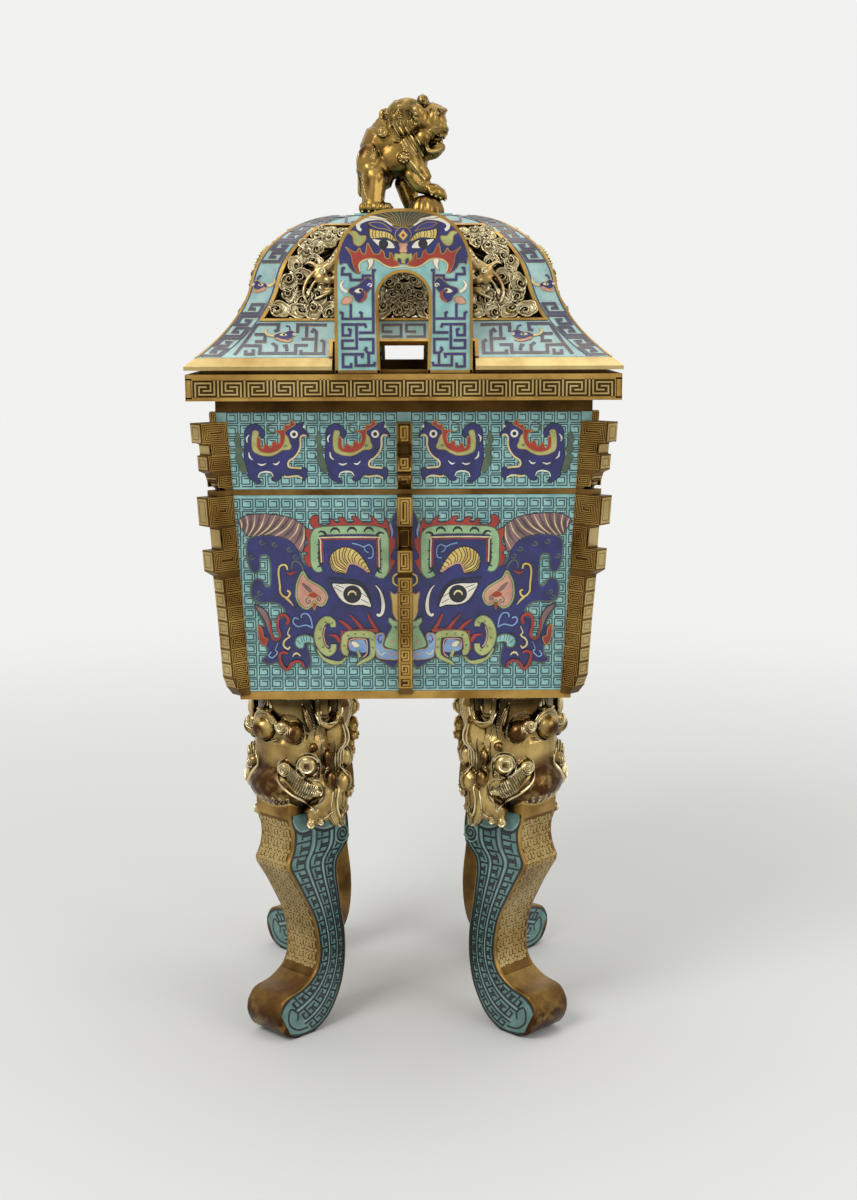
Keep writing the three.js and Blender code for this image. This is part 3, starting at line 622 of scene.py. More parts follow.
class Skin:
    """Fine work laid on a fused form. look(u, v) gives the start and the direction of the look."""

    def __init__(self, form, look, mirror=(1, 1)):
        self.form, self.look, self.mirror = form, look, mirror
        points = [v.co.copy() for v in form.vertices]
        self.tree = BVHTree.FromPolygons(points, [tuple(p.vertices) for p in form.polygons])
        self.detail = bmesh.new()

    def hits(self, path):
        found = [self.tree.ray_cast(*self.look(u, v))[:2] for u, v in path]
        return [(point, normal) for point, normal in found if point is not None]

    def strand(self, path, width, height=0.5):
        """A rounded thread laid over the skin along a path, its height a share of its width."""
        hits = self.hits(path)
        if len(hits) < 2:
            return
        last = len(hits) - 1
        near = [[hits[min(max(i + k, 0), last)][1] for k in (-1, 0, 1)] for i in range(last + 1)]
        ups = [sum(normals, Vector()).normalized() for normals in near]
        widths = spread(width, last + 1)
        heights = [height * w for w in widths]
        add_tube(self.detail, [point for point, _ in hits], ups, widths, heights, THREAD)

    def line(self, path, width, steps=4, height=0.5):
        self.strand(smooth(path, steps), width, height)

    def curl(self, centre, radius, turns, start, width, inner=0.0, height=0.5):
        self.strand(spiral(centre, radius, turns, start, inner, steps=14), width, height)

    def rings(self, centre, radii, width, squash=1.0, first=0, last=360, height=0.5):
        for radius in radii:
            count = max(10, round(radius * 2.4))
            angles = [math.radians(first + (last - first) * i / count) for i in range(count + 1)]
            x, z = centre
            ring = [(x + radius * math.cos(a), z + squash * radius * math.sin(a)) for a in angles]
            self.strand(ring, width, height)

    def comb(self, above, below, count, width, height=0.6):
        """Short threads from one line to another, as in a brow or a lock of hair."""
        a, b = smooth(above, 8), smooth(below, 8)
        for i in range(count):
            share = (i + 0.5) / count
            p, q = a[round(share * (len(a) - 1))], b[round(share * (len(b) - 1))]
            middle = ((p[0] + q[0]) / 2, (p[1] + q[1]) / 2)
            self.strand([p, middle, q], width, height)

    def bead(self, place, radius, height=None):
        for point, normal in self.hits([place]):
            turn = normal.to_track_quat("Z", "Y")
            size = Vector((radius, radius, height or radius))
            spot = Matrix.LocRotScale(point, turn, size)
            bmesh.ops.create_icosphere(self.detail, subdivisions=2, radius=1.0, matrix=spot)

    def finished(self, name, material, rubbed=lambda point: 0.0):
        """The form with its detail, in metres. The wear function tells how far the gold is worn off the form
        at a point, and below 0 how far the form is painted dark in its hollow colour, as a painted shadow."""
        bmesh.ops.recalc_face_normals(self.detail, faces=self.detail.faces)
        wear = [0.0] * len(self.detail.verts) + [rubbed(v.co) for v in self.form.vertices]
        self.detail.from_mesh(self.form)
        bmesh.ops.scale(self.detail, vec=(MM,) * 3, verts=self.detail.verts)
        mesh = mesh_from(name, self.detail)
        mesh.attributes.new("rubbed", "FLOAT", "POINT").data.foreach_set("value", wear)
        mesh.materials.clear()
        mesh.materials.append(material)
        mesh.polygons.foreach_set("material_index", [0] * len(mesh.polygons))
        print(name, len(mesh.polygons), "faces")
        return shaded(mesh, CAST_SHARP)


# %% [markdown]
# The vessel's walls are flat and lean outwards a little. Their enamel ground is covered with small square
# spirals, a thunder pattern, in dark lines 1 mm wide. The panels of the frame carry the turquoise ground,
# and the lines lie on it. Where a figure is laid over the pattern later, it hides the lines.

# %% The wall surface
FLOOR_Z = 353.0
FLOOR_HALF = 160.0
FLARE = 0.0592  # growth of the half-width per mm of height
LEAN = math.atan(FLARE)
LOWER_Z, UPPER_Z = 360.0, 560.0  # the feet of the two registers


def wall_half(z):
    return FLOOR_HALF + (z - FLOOR_Z) * FLARE


def wall(x, z, lift):
    return (x, -(wall_half(z) + lift * math.cos(LEAN)), z - lift * math.sin(LEAN))


# %% Square spirals on the walls
SQUARE = 10.0  # outer width of one spiral
SQUARE_LINE = 1.0
SQUARE_GAP = 2.3
COLUMNS, COLUMN_PITCH = 13, 12.4
FIRST_COLUMN = 12.0  # from the panel's middle, clear of the centre flange


def square_spiral(width, gap):
    """Corner points of a square spiral of two turns from its outer end inwards, about its own middle."""
    a, b = width / 2, width / 2 - gap
    return [(-a, -a), (a, -a), (a, a), (-a, a), (-a, -b), (b, -b), (b, b), (-b, b)]


thunder = Sheet()
thunder.bar(square_spiral(SQUARE, SQUARE_GAP), SQUARE_LINE, LINE_TEAL, 0.25, bottom=False)


def thunder_rows(bottom, rows, pitch):
    """Two grids of spirals, left and right of the centre flange."""
    middle = FIRST_COLUMN + COLUMN_PITCH * (COLUMNS - 1) / 2
    height = bottom + pitch * (rows - 1) / 2
    grids = [repeated(thunder, COLUMNS, rows, COLUMN_PITCH, pitch, (x, height)) for x in (-middle, middle)]
    return [(grid, wall, ALL_SIDES) for grid in grids]


lay("lower_thunder_pattern", "vessel", thunder_rows(368.5, 16, 11.7))
lay("upper_thunder_pattern", "vessel", thunder_rows(566.0, 6, 11.9))

# %% [markdown]
# The rim is a heavy gilt frame. Its side faces carry a fret of double hooks, each unit the mirror image of
# its neighbour. The dark grooves are one plate, and the gilt lines and the plain borders stand over it.
# The two kinds of unit are two runs of the repeating tree.

# %% The rim's fret
RIM_Z, RIM_TOP_Z = 642.5, 667.0
RIM_HALF = 200.0
FRET_LINE = 1.5
FRET_PROUD = 0.9  # of the gilt lines and borders over the rim's face
FRET_STEP = 3.45  # between neighbouring lines of the fret
FRET_UNITS = 16
FRET_PITCH = 2 * RIM_HALF / (FRET_UNITS + 0.4)
FRET_Z = RIM_Z + 2.6
FRET_HIGH = 5 * FRET_STEP


def rim_face(x, z, lift):
    return (x, -(RIM_HALF + lift), z)


def fret_unit(mirrored):
    flip = -1 if mirrored else 1
    sheet = Sheet(lambda u, v: (flip * (u - FRET_PITCH / 2), v - FRET_HIGH / 2))
    far = FRET_PITCH / FRET_STEP
    for line in (
        [(1, 0), (1, 4), (far - 2, 4), (far - 2, 2), (3, 2)],
        [(far - 1, 5), (far - 1, 1), (2, 1), (2, 3), (far - 3, 3)],
    ):
        line = [(FRET_STEP * u, FRET_STEP * v) for u, v in line]
        sheet.bar(line, FRET_LINE, SHEEN_GILT, FRET_PROUD, bottom=False)
    return sheet


def fret_joint():
    sheet = Sheet(lambda u, v: (u, v - FRET_HIGH / 2))
    sheet.bar([(0, 0), (0, FRET_HIGH)], FRET_LINE, SHEEN_GILT, FRET_PROUD, bottom=False)
    return sheet


def rim_ornament():
    ground, borders = Sheet(), Sheet()
    edge = RIM_HALF + 0.15
    middle = FRET_Z + FRET_HIGH / 2
    low, top = FRET_Z - FRET_LINE / 2, FRET_Z + FRET_HIGH + FRET_LINE / 2
    ground.tile(rectangle(-edge, edge, RIM_Z + 0.3, top), GROOVE, 0.15)
    reach = RIM_HALF + FRET_PROUD
    run = FRET_PITCH * FRET_UNITS / 2
    for border in (
        (-reach, reach, RIM_Z, low + FRET_LINE),
        (-reach, reach, top - FRET_LINE, RIM_TOP_Z - 0.3),
        (-reach, -run, low, top),
        (run, reach, low, top),
    ):
        borders.tile(rectangle(*border), GILT, FRET_PROUD)
    frets = [
        repeated(fret_unit(mirrored), FRET_UNITS // 2, 1, 2 * FRET_PITCH, 1.0, (shift, middle))
        for mirrored, shift in ((False, -FRET_PITCH / 2), (True, FRET_PITCH / 2))
    ]
    frets.append(repeated(fret_joint(), FRET_UNITS + 1, 1, FRET_PITCH, 1.0, (0, middle)))
    return [(sheet, rim_face, ALL_SIDES) for sheet in (ground, borders, *frets)]


lay("rim_fret", "vessel", rim_ornament())

# %% [markdown]
# The pictures on the walls are enamel cells with wire round them. Each is drawn once, in millimetres: a
# point's first number runs outwards from the centre flange and its second up from the foot of the enamel
# field, and the mirror image stands on the flange's other side. Cells are laid one over another, each a
# hair higher than the last, as a painter would, so a flame can cross a horn.

# %% The figure sheet
FIRST_LEVEL, HAIR = 0.4, 0.012


class Figure(Sheet):
    """Cells laid one over another, each a hair higher than the one before."""

    level = FIRST_LEVEL

    def rise(self):
        self.level += HAIR
        return self.level

    def fill(self, outline, finish, wire=0.8, wire_finish=None, rounded=True):
        run = smooth(outline, 3, closed=True) if rounded else outline
        self.tile(run, finish, self.rise())
        if wire:
            self.bar(run, wire, wire_finish or WIRE, self.rise(), closed=True)

    def stroke(self, path, width, finish, edge=0.0, edge_finish=None, rounded=True):
        run = smooth(path, 3) if rounded else path
        if edge:
            wide = [w + 2 * edge for w in width] if isinstance(width, tuple) else width + 2 * edge
            self.bar(run, wide, edge_finish or WIRE, self.rise())
        self.bar(run, width, finish, self.rise())

    def disc(self, centre, radius, finish, sides=16):
        self.tile(spiral(centre, radius, (sides - 1) / sides, inner=radius, steps=sides), finish, self.rise())

    def curl(self, centre, radius, turns, start, width, finish, inner=0.0):
        self.bar(spiral(centre, radius, turns, start, inner, steps=10), width, finish, self.rise())

    def curls(self, spots, radius, turns, start, width, finish):
        """The same small curl at each of some spots."""
        for spot in spots:
            self.curl(spot, radius, turns, start, width, finish)

    def hatch(self, near, far, count, width, finish, bow=0.0, first=0.5):
        """Lines that run across a shape, from one of its edges to the other."""
        edges = [smooth(edge, 6) for edge in (near, far)]
        for i in range(count):
            share = (i + first) / count
            a, b = (edge[round(share * (len(edge) - 1))] for edge in edges)
            middle = ((a[0] + b[0]) / 2 + bow * (b[1] - a[1]), (a[1] + b[1]) / 2 - bow * (b[0] - a[0]))
            self.bar(smooth([a, middle, b], 3), width, finish, self.rise())


# %% [markdown]
# The lower panels carry a beast mask, split in two by the centre flange: a blue face with square horns in
# pale green, flames, a rope brow, a large eye, a pink ear, and curling jaws and tail.

# %% The beast mask: face, crest and flames
MASK_FACE = [
    (5, 168), (13, 168), (16, 162), (57, 161), (85, 159), (88, 148), (88, 128), (91, 124), (97, 129),
    (100, 139), (107, 148), (117, 152.5), (129, 154.5), (142, 153.5), (149, 150), (150.5, 141), (149.5, 129),
    (146, 120), (141, 118), (138, 123), (137.5, 133), (134.5, 135.5), (130, 134), (128, 123), (128.5, 107),
    (132.5, 104.5), (136.5, 111), (142, 112), (146, 108), (147.5, 100), (145, 91), (138, 89), (126, 89),
    (119, 86), (115, 80), (117, 74), (122, 73), (122.5, 64), (120, 56), (124, 52.5), (128, 56),
    (129.5, 66), (131, 76), (137, 84), (144, 87), (139, 76), (135, 66), (140, 66.5), (141, 60), (138, 50),
    (134, 46), (133.5, 38), (138.5, 31.5), (131, 28), (123, 30), (120, 25), (113, 22.5), (110, 29),
    (105, 31), (100, 29), (98, 24), (93, 24.5), (91, 31), (92, 39), (94, 47), (88, 50), (87, 42),
    (80, 34), (72, 29.5), (63, 30), (57, 36), (40, 34), (27, 33), (5, 33),
]
MASK_FLAMES = [
    (88, 123), (93, 125), (96, 133), (93, 137), (96.5, 140), (92, 147), (94, 153), (94, 161), (88, 159),
    (87, 162), (90, 167), (88, 172), (85, 173.5), (81.5, 172.5), (82, 168), (80, 164.5), (75, 164),
    (70, 166), (72, 169.5), (68, 169.5), (65, 166.5), (62, 167), (63, 171.5), (58, 171), (54, 166.5),
    (48, 167), (50.5, 172), (46, 172), (42, 168), (35, 166), (31, 168), (33, 173), (28, 170), (24, 165),
    (20, 166), (18.5, 170.5), (15, 164), (13, 160), (14, 153), (9, 151), (9, 143), (12, 137), (13, 132),
    (9, 129), (12, 123), (15, 116), (17, 123), (17, 157), (22, 160), (57, 160), (83, 159), (87, 151),
    (87, 124),
]
MASK_CREST_TOP = [(158, 168), (150, 173.5), (137, 175), (122, 174), (109, 171.5), (100, 166.5), (94, 160)]
MASK_CREST_LOW = [(156, 163), (151, 156), (147, 153), (139, 154), (129, 154.5), (110, 150), (98, 137)]
MASK_HORN = [
    (80, 123), (83.5, 122.5), (86, 129), (86, 143), (85.5, 153), (81, 158), (67, 159), (47, 159.5),
    (27, 158.5), (20, 154), (19, 143), (19, 128), (19, 121), (22, 116), (27, 118),
]


def mask_face(sheet):
    sheet.fill(MASK_FACE, COBALT, 1.5, DARK_GREEN)
    sheet.fill(MASK_CREST_TOP + MASK_CREST_LOW[::-1], MAUVE, 0.9, BLACK)
    sheet.hatch(MASK_CREST_TOP, MASK_CREST_LOW, 9, (1.0, 3.0, 1.0), PLUM, 0.1, 0.1)
    sheet.hatch(MASK_CREST_TOP, MASK_CREST_LOW, 9, (0.4, 1.3, 0.4), CREAM, 0.1)
    bumps = ((136, 148), (124, 146), (110, 141), (146, 134), (139, 99), (142, 94), (104, 134))
    sheet.curls(bumps, 3.2, 1.1, 200, 1.0, DARK_GREEN)
    sheet.fill(MASK_FLAMES, RED, 0.7, BLACK)
    sheet.stroke(MASK_HORN, (6.4, 7.4, 6.4), LIGHT_GREEN, 0.9, DARK_GREEN)
    for u, v, start in (
        (79, 153.5, 45), (66, 156.5, 0), (50, 157, 0), (34, 157, 0), (22.5, 152.5, -45),
        (83.5, 141, 90), (83.5, 128, 90), (21.5, 135, -90), (22, 122, -90),
    ):
        sheet.curl((u, v), 4.6, 0.5, start, (0.9, 2.8, 0.9), BLACK, 4.2)
    sheet.stroke([(79.5, 128), (80, 149), (77, 152), (28, 152), (25, 149), (24.5, 123)], 1.3, CREAM)
    sheet.stroke([(77.6, 128), (78, 148), (76, 150.2), (29, 150.2), (26.9, 148), (26.5, 124)], 0.9, RED)


# %% The beast mask: brow, eye, ear and scrolls
MASK_BROW_TOP = [(34, 121), (37, 127), (44, 137), (52, 142), (60, 142.5), (68, 138), (72, 131), (71, 124)]
MASK_BROW_LOW = [(35, 119), (41, 123), (47, 126), (52, 126.5), (55, 124), (55, 120), (58, 116.8), (67, 119)]
MASK_EYE = [
    (70, 107.5), (62, 107.5), (52, 107.5), (43, 105), (38, 99), (34, 91), (32.5, 84), (40, 86), (49, 86),
    (57, 88), (62, 92), (66, 98),
]
MASK_EAR = [
    (97, 119), (93, 112), (85, 107), (78, 102), (74.5, 95), (77, 88), (81, 86), (85, 88), (87, 90),
    (89, 87), (94, 83), (100, 86), (103.5, 93), (104, 99), (103, 108), (100, 115),
]


def mask_features(sheet):
    sheet.fill([(32.5, 117)] + MASK_BROW_TOP + MASK_BROW_LOW[::-1], YELLOW, 0.8, BLACK)
    sheet.hatch(MASK_BROW_LOW, MASK_BROW_TOP, 16, 0.75, BLACK, 0.22)
    sheet.stroke([(57, 117.5), (55.5, 122), (53, 126.5), (48, 126.5), (41, 123), (35, 118.5)], 1.5, PINK)
    sheet.stroke([(50, 146.5), (44, 145), (39, 143), (34, 145), (30.5, 141), (31, 133), (35, 132)], 1.1, SKY)
    sheet.stroke([(39, 143), (37.5, 139), (34.5, 137.5)], 1.0, SKY)
    sheet.stroke([(73, 113), (57, 111), (45, 109), (36, 100), (32, 85)], (0.8, 2.2, 0.8), BLACK)
    sheet.fill(MASK_EYE, WHITE, 1.1, BLACK)
    for wrinkle in (
        [(68, 104), (60, 99)], [(66, 106), (58, 103)], [(42, 98), (36, 94)], [(42, 92), (35, 88)],
    ):
        sheet.stroke(wrinkle, 0.6, BLACK, rounded=False)
    sheet.disc((50.5, 97), 8.7, BLACK, 24)
    sheet.curl((50.5, 96), 4.2, 0.5, 0, (1.0, 2.2, 1.0), CREAM, 3.6)
    sheet.disc((50.5, 96), 1.8, BLACK, 10)
    tusk = [(28, 105.5), (24.5, 101), (22, 94), (21, 86), (22, 79), (25, 76), (27, 77.5)]
    sheet.stroke(tusk, (0.5, 3.4, 2.0), WHITE, 0.5, BLACK)
    sheet.fill(MASK_EAR, PINK, 2.4, DARK_GREEN)
    sheet.bar(smooth(MASK_EAR, 3, closed=True), 1.1, LIME, sheet.rise(), closed=True)
    sheet.stroke([(98, 108), (93, 103), (88, 98)], (0.6, 3.0, 1.0), MAUVE, 0.4, BLACK)
    sheet.fill([(93, 96), (88, 99.5), (83, 96), (87, 93.5)], RED, 0.6)
    sheet.curl((92, 90.5), 3.6, -1.3, 90, 1.0, DARK_GREEN)
    sheet.curl((83, 92.5), 2.8, 1.3, 90, 1.0, DARK_GREEN)
    sheet.fill([(88.5, 88), (87, 81.5), (85, 88)], RED, 0.6)
    hook = [(112, 121), (113, 125), (116, 126), (119.5, 124), (120.5, 117), (119.5, 107), (119, 99)]
    sheet.stroke(hook + [(115, 94.5), (111.5, 95), (110, 99), (112.5, 101)], 1.7, YELLOW, 0.3, BLACK)
    sheet.stroke([(114, 94), (110, 90), (107, 86)], (2.4, 1.6, 0.5), YELLOW)
    sheet.stroke([(113, 119), (109, 117), (103, 120)], (0.5, 2.5, 0.5), RED)
    sheet.stroke([(108, 122), (107, 128), (103, 129.5), (99, 126), (97, 121)], 1.3, DARK_GREEN)
    sheet.stroke([(7, 117), (11, 114), (11, 108), (7, 105)], 1.5, YELLOW)
    sheet.stroke([(14, 165), (12, 158), (12.5, 152)], (1.5, 2.0, 0.6), SKY)


# %% The beast mask: nose, jaws and tail
MASK_JAW = [
    (55, 39), (58.5, 41), (58.5, 51), (56, 57), (47, 58), (35, 57.5), (31.5, 54), (31.5, 39), (35, 34),
    (42, 30.5), (47, 27),
]
MASK_C_CURL = [
    (69, 65), (70, 70), (75, 72.5), (80.5, 68), (83.5, 59), (82.5, 50), (79, 43), (74, 39.5), (69.5, 43),
    (69, 48),
]


def mask_jaws(sheet):
    sheet.stroke([(89, 64), (95, 67), (103, 65.5), (107.5, 70), (106, 74), (102.5, 73)], 1.2, SKY)
    sheet.stroke([(99.5, 74), (99, 77.5), (94, 78), (90.5, 73), (89, 64)], 1.2, SKY)
    for path in (
        [(64, 72), (58, 68), (52, 62)], [(53, 77), (46, 69), (40, 61)], [(36, 78), (32, 69), (27, 61)],
        [(74, 57), (67, 56), (63, 50)], [(61, 62), (61, 52), (62, 42)], [(61, 60), (45, 61.5), (26, 61)],
    ):
        sheet.stroke(path, (0.8, 3.0, 3.4), RED, 0.25, BLACK)
    sheet.stroke(MASK_C_CURL, (4.5, 7.6, 4.5), LIME, 0.8, DARK_GREEN)
    scales = ((71, 69), (77, 70), (82, 63), (83, 54), (79.5, 45.5), (73, 41.5))
    sheet.curls(scales, 1.6, 0.7, 120, 0.8, DARK_GREEN)
    sheet.stroke([(77, 65), (78.5, 57), (77, 49), (74, 45)], 1.1, PINK)
    sheet.stroke([(85, 43), (79, 34), (70, 30), (62, 30), (57, 35)], (0.8, 3.8, 1.2), LIME, 0.5, DARK_GREEN)
    sheet.fill([(53, 42), (53, 50), (46, 52.5), (39, 51), (38, 40)], SKY, 0)
    sheet.stroke(MASK_JAW, (5.0, 6.4, 1.6), LIME, 0.8, DARK_GREEN)
    scales = ((58.5, 46), (55, 56), (48, 57.5), (40, 57), (32, 52), (31.5, 44))
    sheet.curls(scales, 1.5, 0.7, 30, 0.8, DARK_GREEN)
    sheet.stroke([(53.5, 43), (54, 50), (51, 53), (40, 53), (37, 50), (37, 39), (41, 35)], 1.2, PINK)
    sheet.fill([(52, 50.5), (47, 50), (44, 46), (49, 45)], WHITE, 0.5)
    sheet.stroke([(46, 42), (44, 35)], 2.6, LIME, 0.5, DARK_GREEN)
    curls = [(29, 57), (22, 59), (20, 55), (22, 47), (18, 43), (5, 42), (5, 33), (25, 34), (28, 40), (29, 48)]
    sheet.fill(curls, SKY, 0.8)
    for path, finish in (
        ([(27, 42), (24, 37.5), (20, 39.5)], CREAM), ([(17, 41), (13, 37), (8, 40)], PINK),
        ([(26, 52), (25.5, 56), (22.5, 56.5)], RED), ([(27, 53), (24, 49), (23, 52)], NAVY),
    ):
        sheet.stroke(path, 1.0, finish)
    sheet.fill([(14, 99), (10, 97), (5, 97), (5, 69), (8, 71), (12, 79), (12.5, 89)], YELLOW, 1.0, MAUVE)
    cheek = [(15, 74), (10, 71), (5, 68), (5, 43.5), (14, 43.5), (20.5, 47), (17, 57), (13, 65), (16, 70)]
    sheet.fill(cheek, LIGHT_GREEN, 1.1, DARK_GREEN)
    sheet.curl((9, 64), 2.0, 1.2, 0, 0.9, DARK_GREEN)
    sheet.curl((11.5, 51), 2.4, -1.2, 0, 0.9, PINK)


def mask_tail(sheet):
    claw = [(144, 87), (136, 83.5), (131, 76), (129, 66), (128.5, 57), (131, 60), (134, 70), (139, 79)]
    sheet.fill(claw, MAUVE, 0.7, BLACK)
    palm = [(141, 67), (137, 63), (136, 56), (132, 54), (134, 48), (137, 47), (140, 53), (141, 60)]
    sheet.fill(palm, RED, 0.6)
    inlet = [(114, 68), (112, 71), (113, 75), (117, 77.5), (121, 75), (122.5, 66), (120, 57), (124, 52.5)]
    sheet.stroke(inlet + [(128, 56), (129.5, 66), (130, 73)], (2.8, 2.4, 1.4), RED, 0.3, BLACK)
    squiggle = [(110.5, 65), (113, 59), (111, 56), (116, 52), (117, 47), (113, 43.5), (111, 46)]
    sheet.stroke(squiggle, (0.6, 1.6, 1.2), CREAM)
    sheet.stroke([(122, 50), (125, 43), (123, 40), (128, 35), (131.5, 37), (129, 41)], (0.6, 1.2, 1.0), SKY)
    sheet.stroke([(108.5, 36), (107, 38.5), (104, 39.2), (101, 36.5)], (0.8, 1.9, 0.8), CREAM)
    scroll = [(113, 39), (117, 40.5), (121, 38), (120, 31), (117, 25), (113, 23.5), (110, 29), (104, 31.5)]
    sheet.stroke(scroll + [(99, 29), (98, 24.5)], (2.2, 2.7, 2.0), RED, 0.3, BLACK)
    comb = [(88, 49), (89, 55), (96, 57.5), (104, 55), (106, 49), (103, 44.5), (98, 45), (97, 49), (93, 50)]
    sheet.fill(comb, TURQUOISE, 1.3, DARK_GREEN)
    sheet.hatch([(90, 51), (97, 51), (101, 48)], [(91, 56), (98, 56.5), (105, 52)], 5, 0.6, LINE_TEAL)


def figures(parts, surface, turns, foot=0.0, sides=(-1, 1), bases=(0.0,)):
    """A drawing in some parts, laid on each side of the middle line from each base outwards."""
    sets = []
    for side in sides:
        for base in bases:
            sheet = Figure(lambda u, v, side=side, base=base: (side * (base + u), foot + v))
            for part in parts:
                part(sheet)
            sets.append((sheet, surface, turns))
    return sets


whole_mask = (mask_face, mask_features, mask_jaws, mask_tail)
lay("beast_masks", "vessel", figures(whole_mask, wall, ALL_SIDES, LOWER_Z))

# %% [markdown]
# The upper register has a row of hook-beaked birds that walk towards the centre flange. One bird is drawn
# in its own frame, from its tail to its beak, and four of them stand on each side of the vessel.

# %% The birds
BIRD_BODY = [
    (0.5, 45.7), (0.5, 52.9), (3.6, 58), (8.7, 60), (13.8, 59), (18.4, 54.4), (19.4, 50.3), (18.1, 47.2),
    (15.8, 47.8), (13.3, 50.8), (12.2, 53.1), (8.7, 53.4), (7.7, 49.8), (7.1, 45.7), (7.1, 38.6),
    (8.7, 34), (12.2, 31.9), (16.3, 30.4), (24, 29.9), (30.6, 32.4), (35.7, 35.5), (41.8, 36),
    (43.9, 38.6), (42.3, 42.7), (41.3, 46.7), (38.3, 49.8), (38.3, 52.9), (40.8, 54.9), (44.9, 57.4),
    (49.5, 59.5), (53, 61.5), (55.6, 61), (54.6, 57.4), (57.1, 53.9), (59.7, 51.3), (60.2, 47.8),
    (57.7, 49.3), (55.1, 49.8), (53, 48.3), (52, 44.7), (51.5, 39.6), (49.5, 34), (45.9, 29.4),
    (41.8, 26.3), (39.8, 22.2), (39.8, 19.2), (42.9, 17.7), (52, 16.6), (54.6, 18.7), (57.7, 17.7),
    (58.2, 13.1), (57.1, 9), (54.6, 6.4), (54.1, 9), (48, 11.5), (37.8, 11.5), (35.2, 12.6), (33.7, 9.5),
    (31.6, 7.4), (28.1, 5.9), (25, 7.4), (26, 11), (23.5, 14.6), (19.4, 15.6), (14.8, 14.6), (12.2, 11.5),
    (12.8, 8), (15.3, 5.4), (11.2, 4.4), (6.1, 7.4), (2.6, 11), (2.6, 15.6), (0.5, 23.3), (-0.5, 30.9),
    (0, 38.6),
]
BIRD_WING = [
    (8.7, 53.4), (12, 53.5), (13.5, 51.5), (12, 46), (11.7, 38), (13.8, 35.2), (17, 33.5), (24, 32.5),
    (31, 35), (36, 39), (38, 45), (38.5, 50), (41.3, 46.7), (42.3, 42.7), (43.9, 38.6), (41.8, 36),
    (35.7, 35.5), (30.6, 32.4), (24, 29.9), (16.3, 30.4), (12.2, 31.9), (8.7, 34), (7.1, 38.6),
    (7.1, 45.7), (7.7, 49.8),
]
BIRD_FLAME = [
    (12, 47), (13.5, 47.3), (15, 46), (15.2, 40), (16.8, 36.7), (18, 38), (19.4, 42), (21, 41),
    (23, 39), (25.5, 38.5), (26.5, 43), (29, 43.5), (31, 41.5), (33, 42.5), (34, 46), (33.5, 50),
    (31, 52.2), (27, 52.6), (33.7, 54), (37.5, 55), (38.3, 59.5), (40.5, 58.5), (43, 59.5), (43.5, 63.5),
    (46, 62), (48, 59.5), (44.9, 57.4), (40.8, 54.9), (38.3, 52.9), (38.2, 47), (36, 39.5), (31, 35),
    (24, 32.8), (17, 33.6), (13.8, 35.5), (11.9, 39),
]
BIRD_FEATHER = [
    (-6, 53), (-3.6, 46), (-4.6, 42), (-1.5, 36), (-3, 31), (-0.8, 26), (1.8, 16), (-1.5, 13.5),
    (-4.6, 16.5), (-7, 23), (-9, 29), (-6.5, 31), (-9.5, 36), (-7, 39), (-9.5, 44),
]
BIRD_LONG = 60.0


def bird(sheet):
    base = sheet.place
    sheet.place = lambda a, b: base(BIRD_LONG - a, b)
    sheet.fill(BIRD_FEATHER, DARK_GREEN, 0.5, LINE_TEAL)
    sheet.fill(BIRD_BODY, COBALT, 0.8, BLACK)
    sheet.fill(BIRD_WING, LIME, 0.6)
    sheet.fill(BIRD_FLAME, RED, 0.6)
    crest = [(30.6, 52.9), (26.5, 51.8), (23, 53.9), (22.4, 57.4), (24.5, 60), (28.6, 61.5)]
    sheet.stroke(crest, (0.6, 1.8, 1.0), DARK_GREEN)
    sheet.disc((46.7, 50.3), 3.7, WHITE)
    sheet.disc((46.7, 50.3), 1.9, BLACK, 10)
    neck = [(58.2, 48.8), (54.6, 49.3), (52.6, 46.2), (52.6, 39.6), (50.5, 33.5), (46.4, 28.4), (41.8, 25.3)]
    sheet.stroke(neck + [(40.6, 21.7), (42.3, 19.2), (48, 18.7), (53, 18.2)], 1.5, CREAM, 0.3, MAUVE)
    sheet.stroke([(36.7, 11), (39.8, 10), (48.5, 11), (53.6, 8.5)], 1.5, CREAM)
    for path in (
        [(12.2, 9.5), (13.8, 13.6), (19.4, 15.1), (24.5, 14.1), (26.5, 10.5)],
        [(12.2, 22.8), (15.8, 21.5), (19.9, 22.8)], [(26.5, 22.8), (29.6, 22), (32.7, 24.8)],
        [(4.6, 49.8), (2.3, 46.7), (2.8, 42.7)], [(4.1, 33.5), (4.8, 28.9), (7.7, 26.3)],
    ):
        sheet.stroke(path, (0.6, 1.6, 0.6), WHITE)
    sheet.disc((56.3, 57.3), 1.3, WHITE, 8)
    sheet.curl((38.2, 38.8), 1.8, 1.0, 0, 0.7, DARK_GREEN)
    sheet.place = base


BIRD_BASES = (14.0, 90.0)
birds = figures((bird,), wall, ALL_SIDES, UPPER_Z, bases=BIRD_BASES)
lay("walking_birds", "vessel", birds)

# %% [markdown]
# Each handle is a thick upright arch. Gilt edging runs round it and round its opening, and both its faces
# are enamelled with a dragon's face under the arch and a meander with hooked ends down both legs. The
# faces are flat, so the surface functions only set the depth.

# %% Handle edging
HANDLE_FACE_Y = -197.0
HANDLE_THICK = 14.0
HANDLE_FOOT_Z = 667.6
ARCH_Z, ARCH_R, HANDLE_HALF = 752.5, 63.0, 63.0
OPENING_Z, OPENING_R, OPENING_HALF = 735.5, 23.5, 22.0
EDGE_WIDE, EDGE_PROUD = 2.7, 0.7
SQUARENESS = 2.55  # of the outer arch, where a half circle has 2
ARCH_STEPS = 36


def handle_outside(x, z, lift):
    return (x, HANDLE_FACE_Y - lift, z)


def handle_inside(x, z, lift):
    return (-x, HANDLE_FACE_Y + HANDLE_THICK + lift, z)


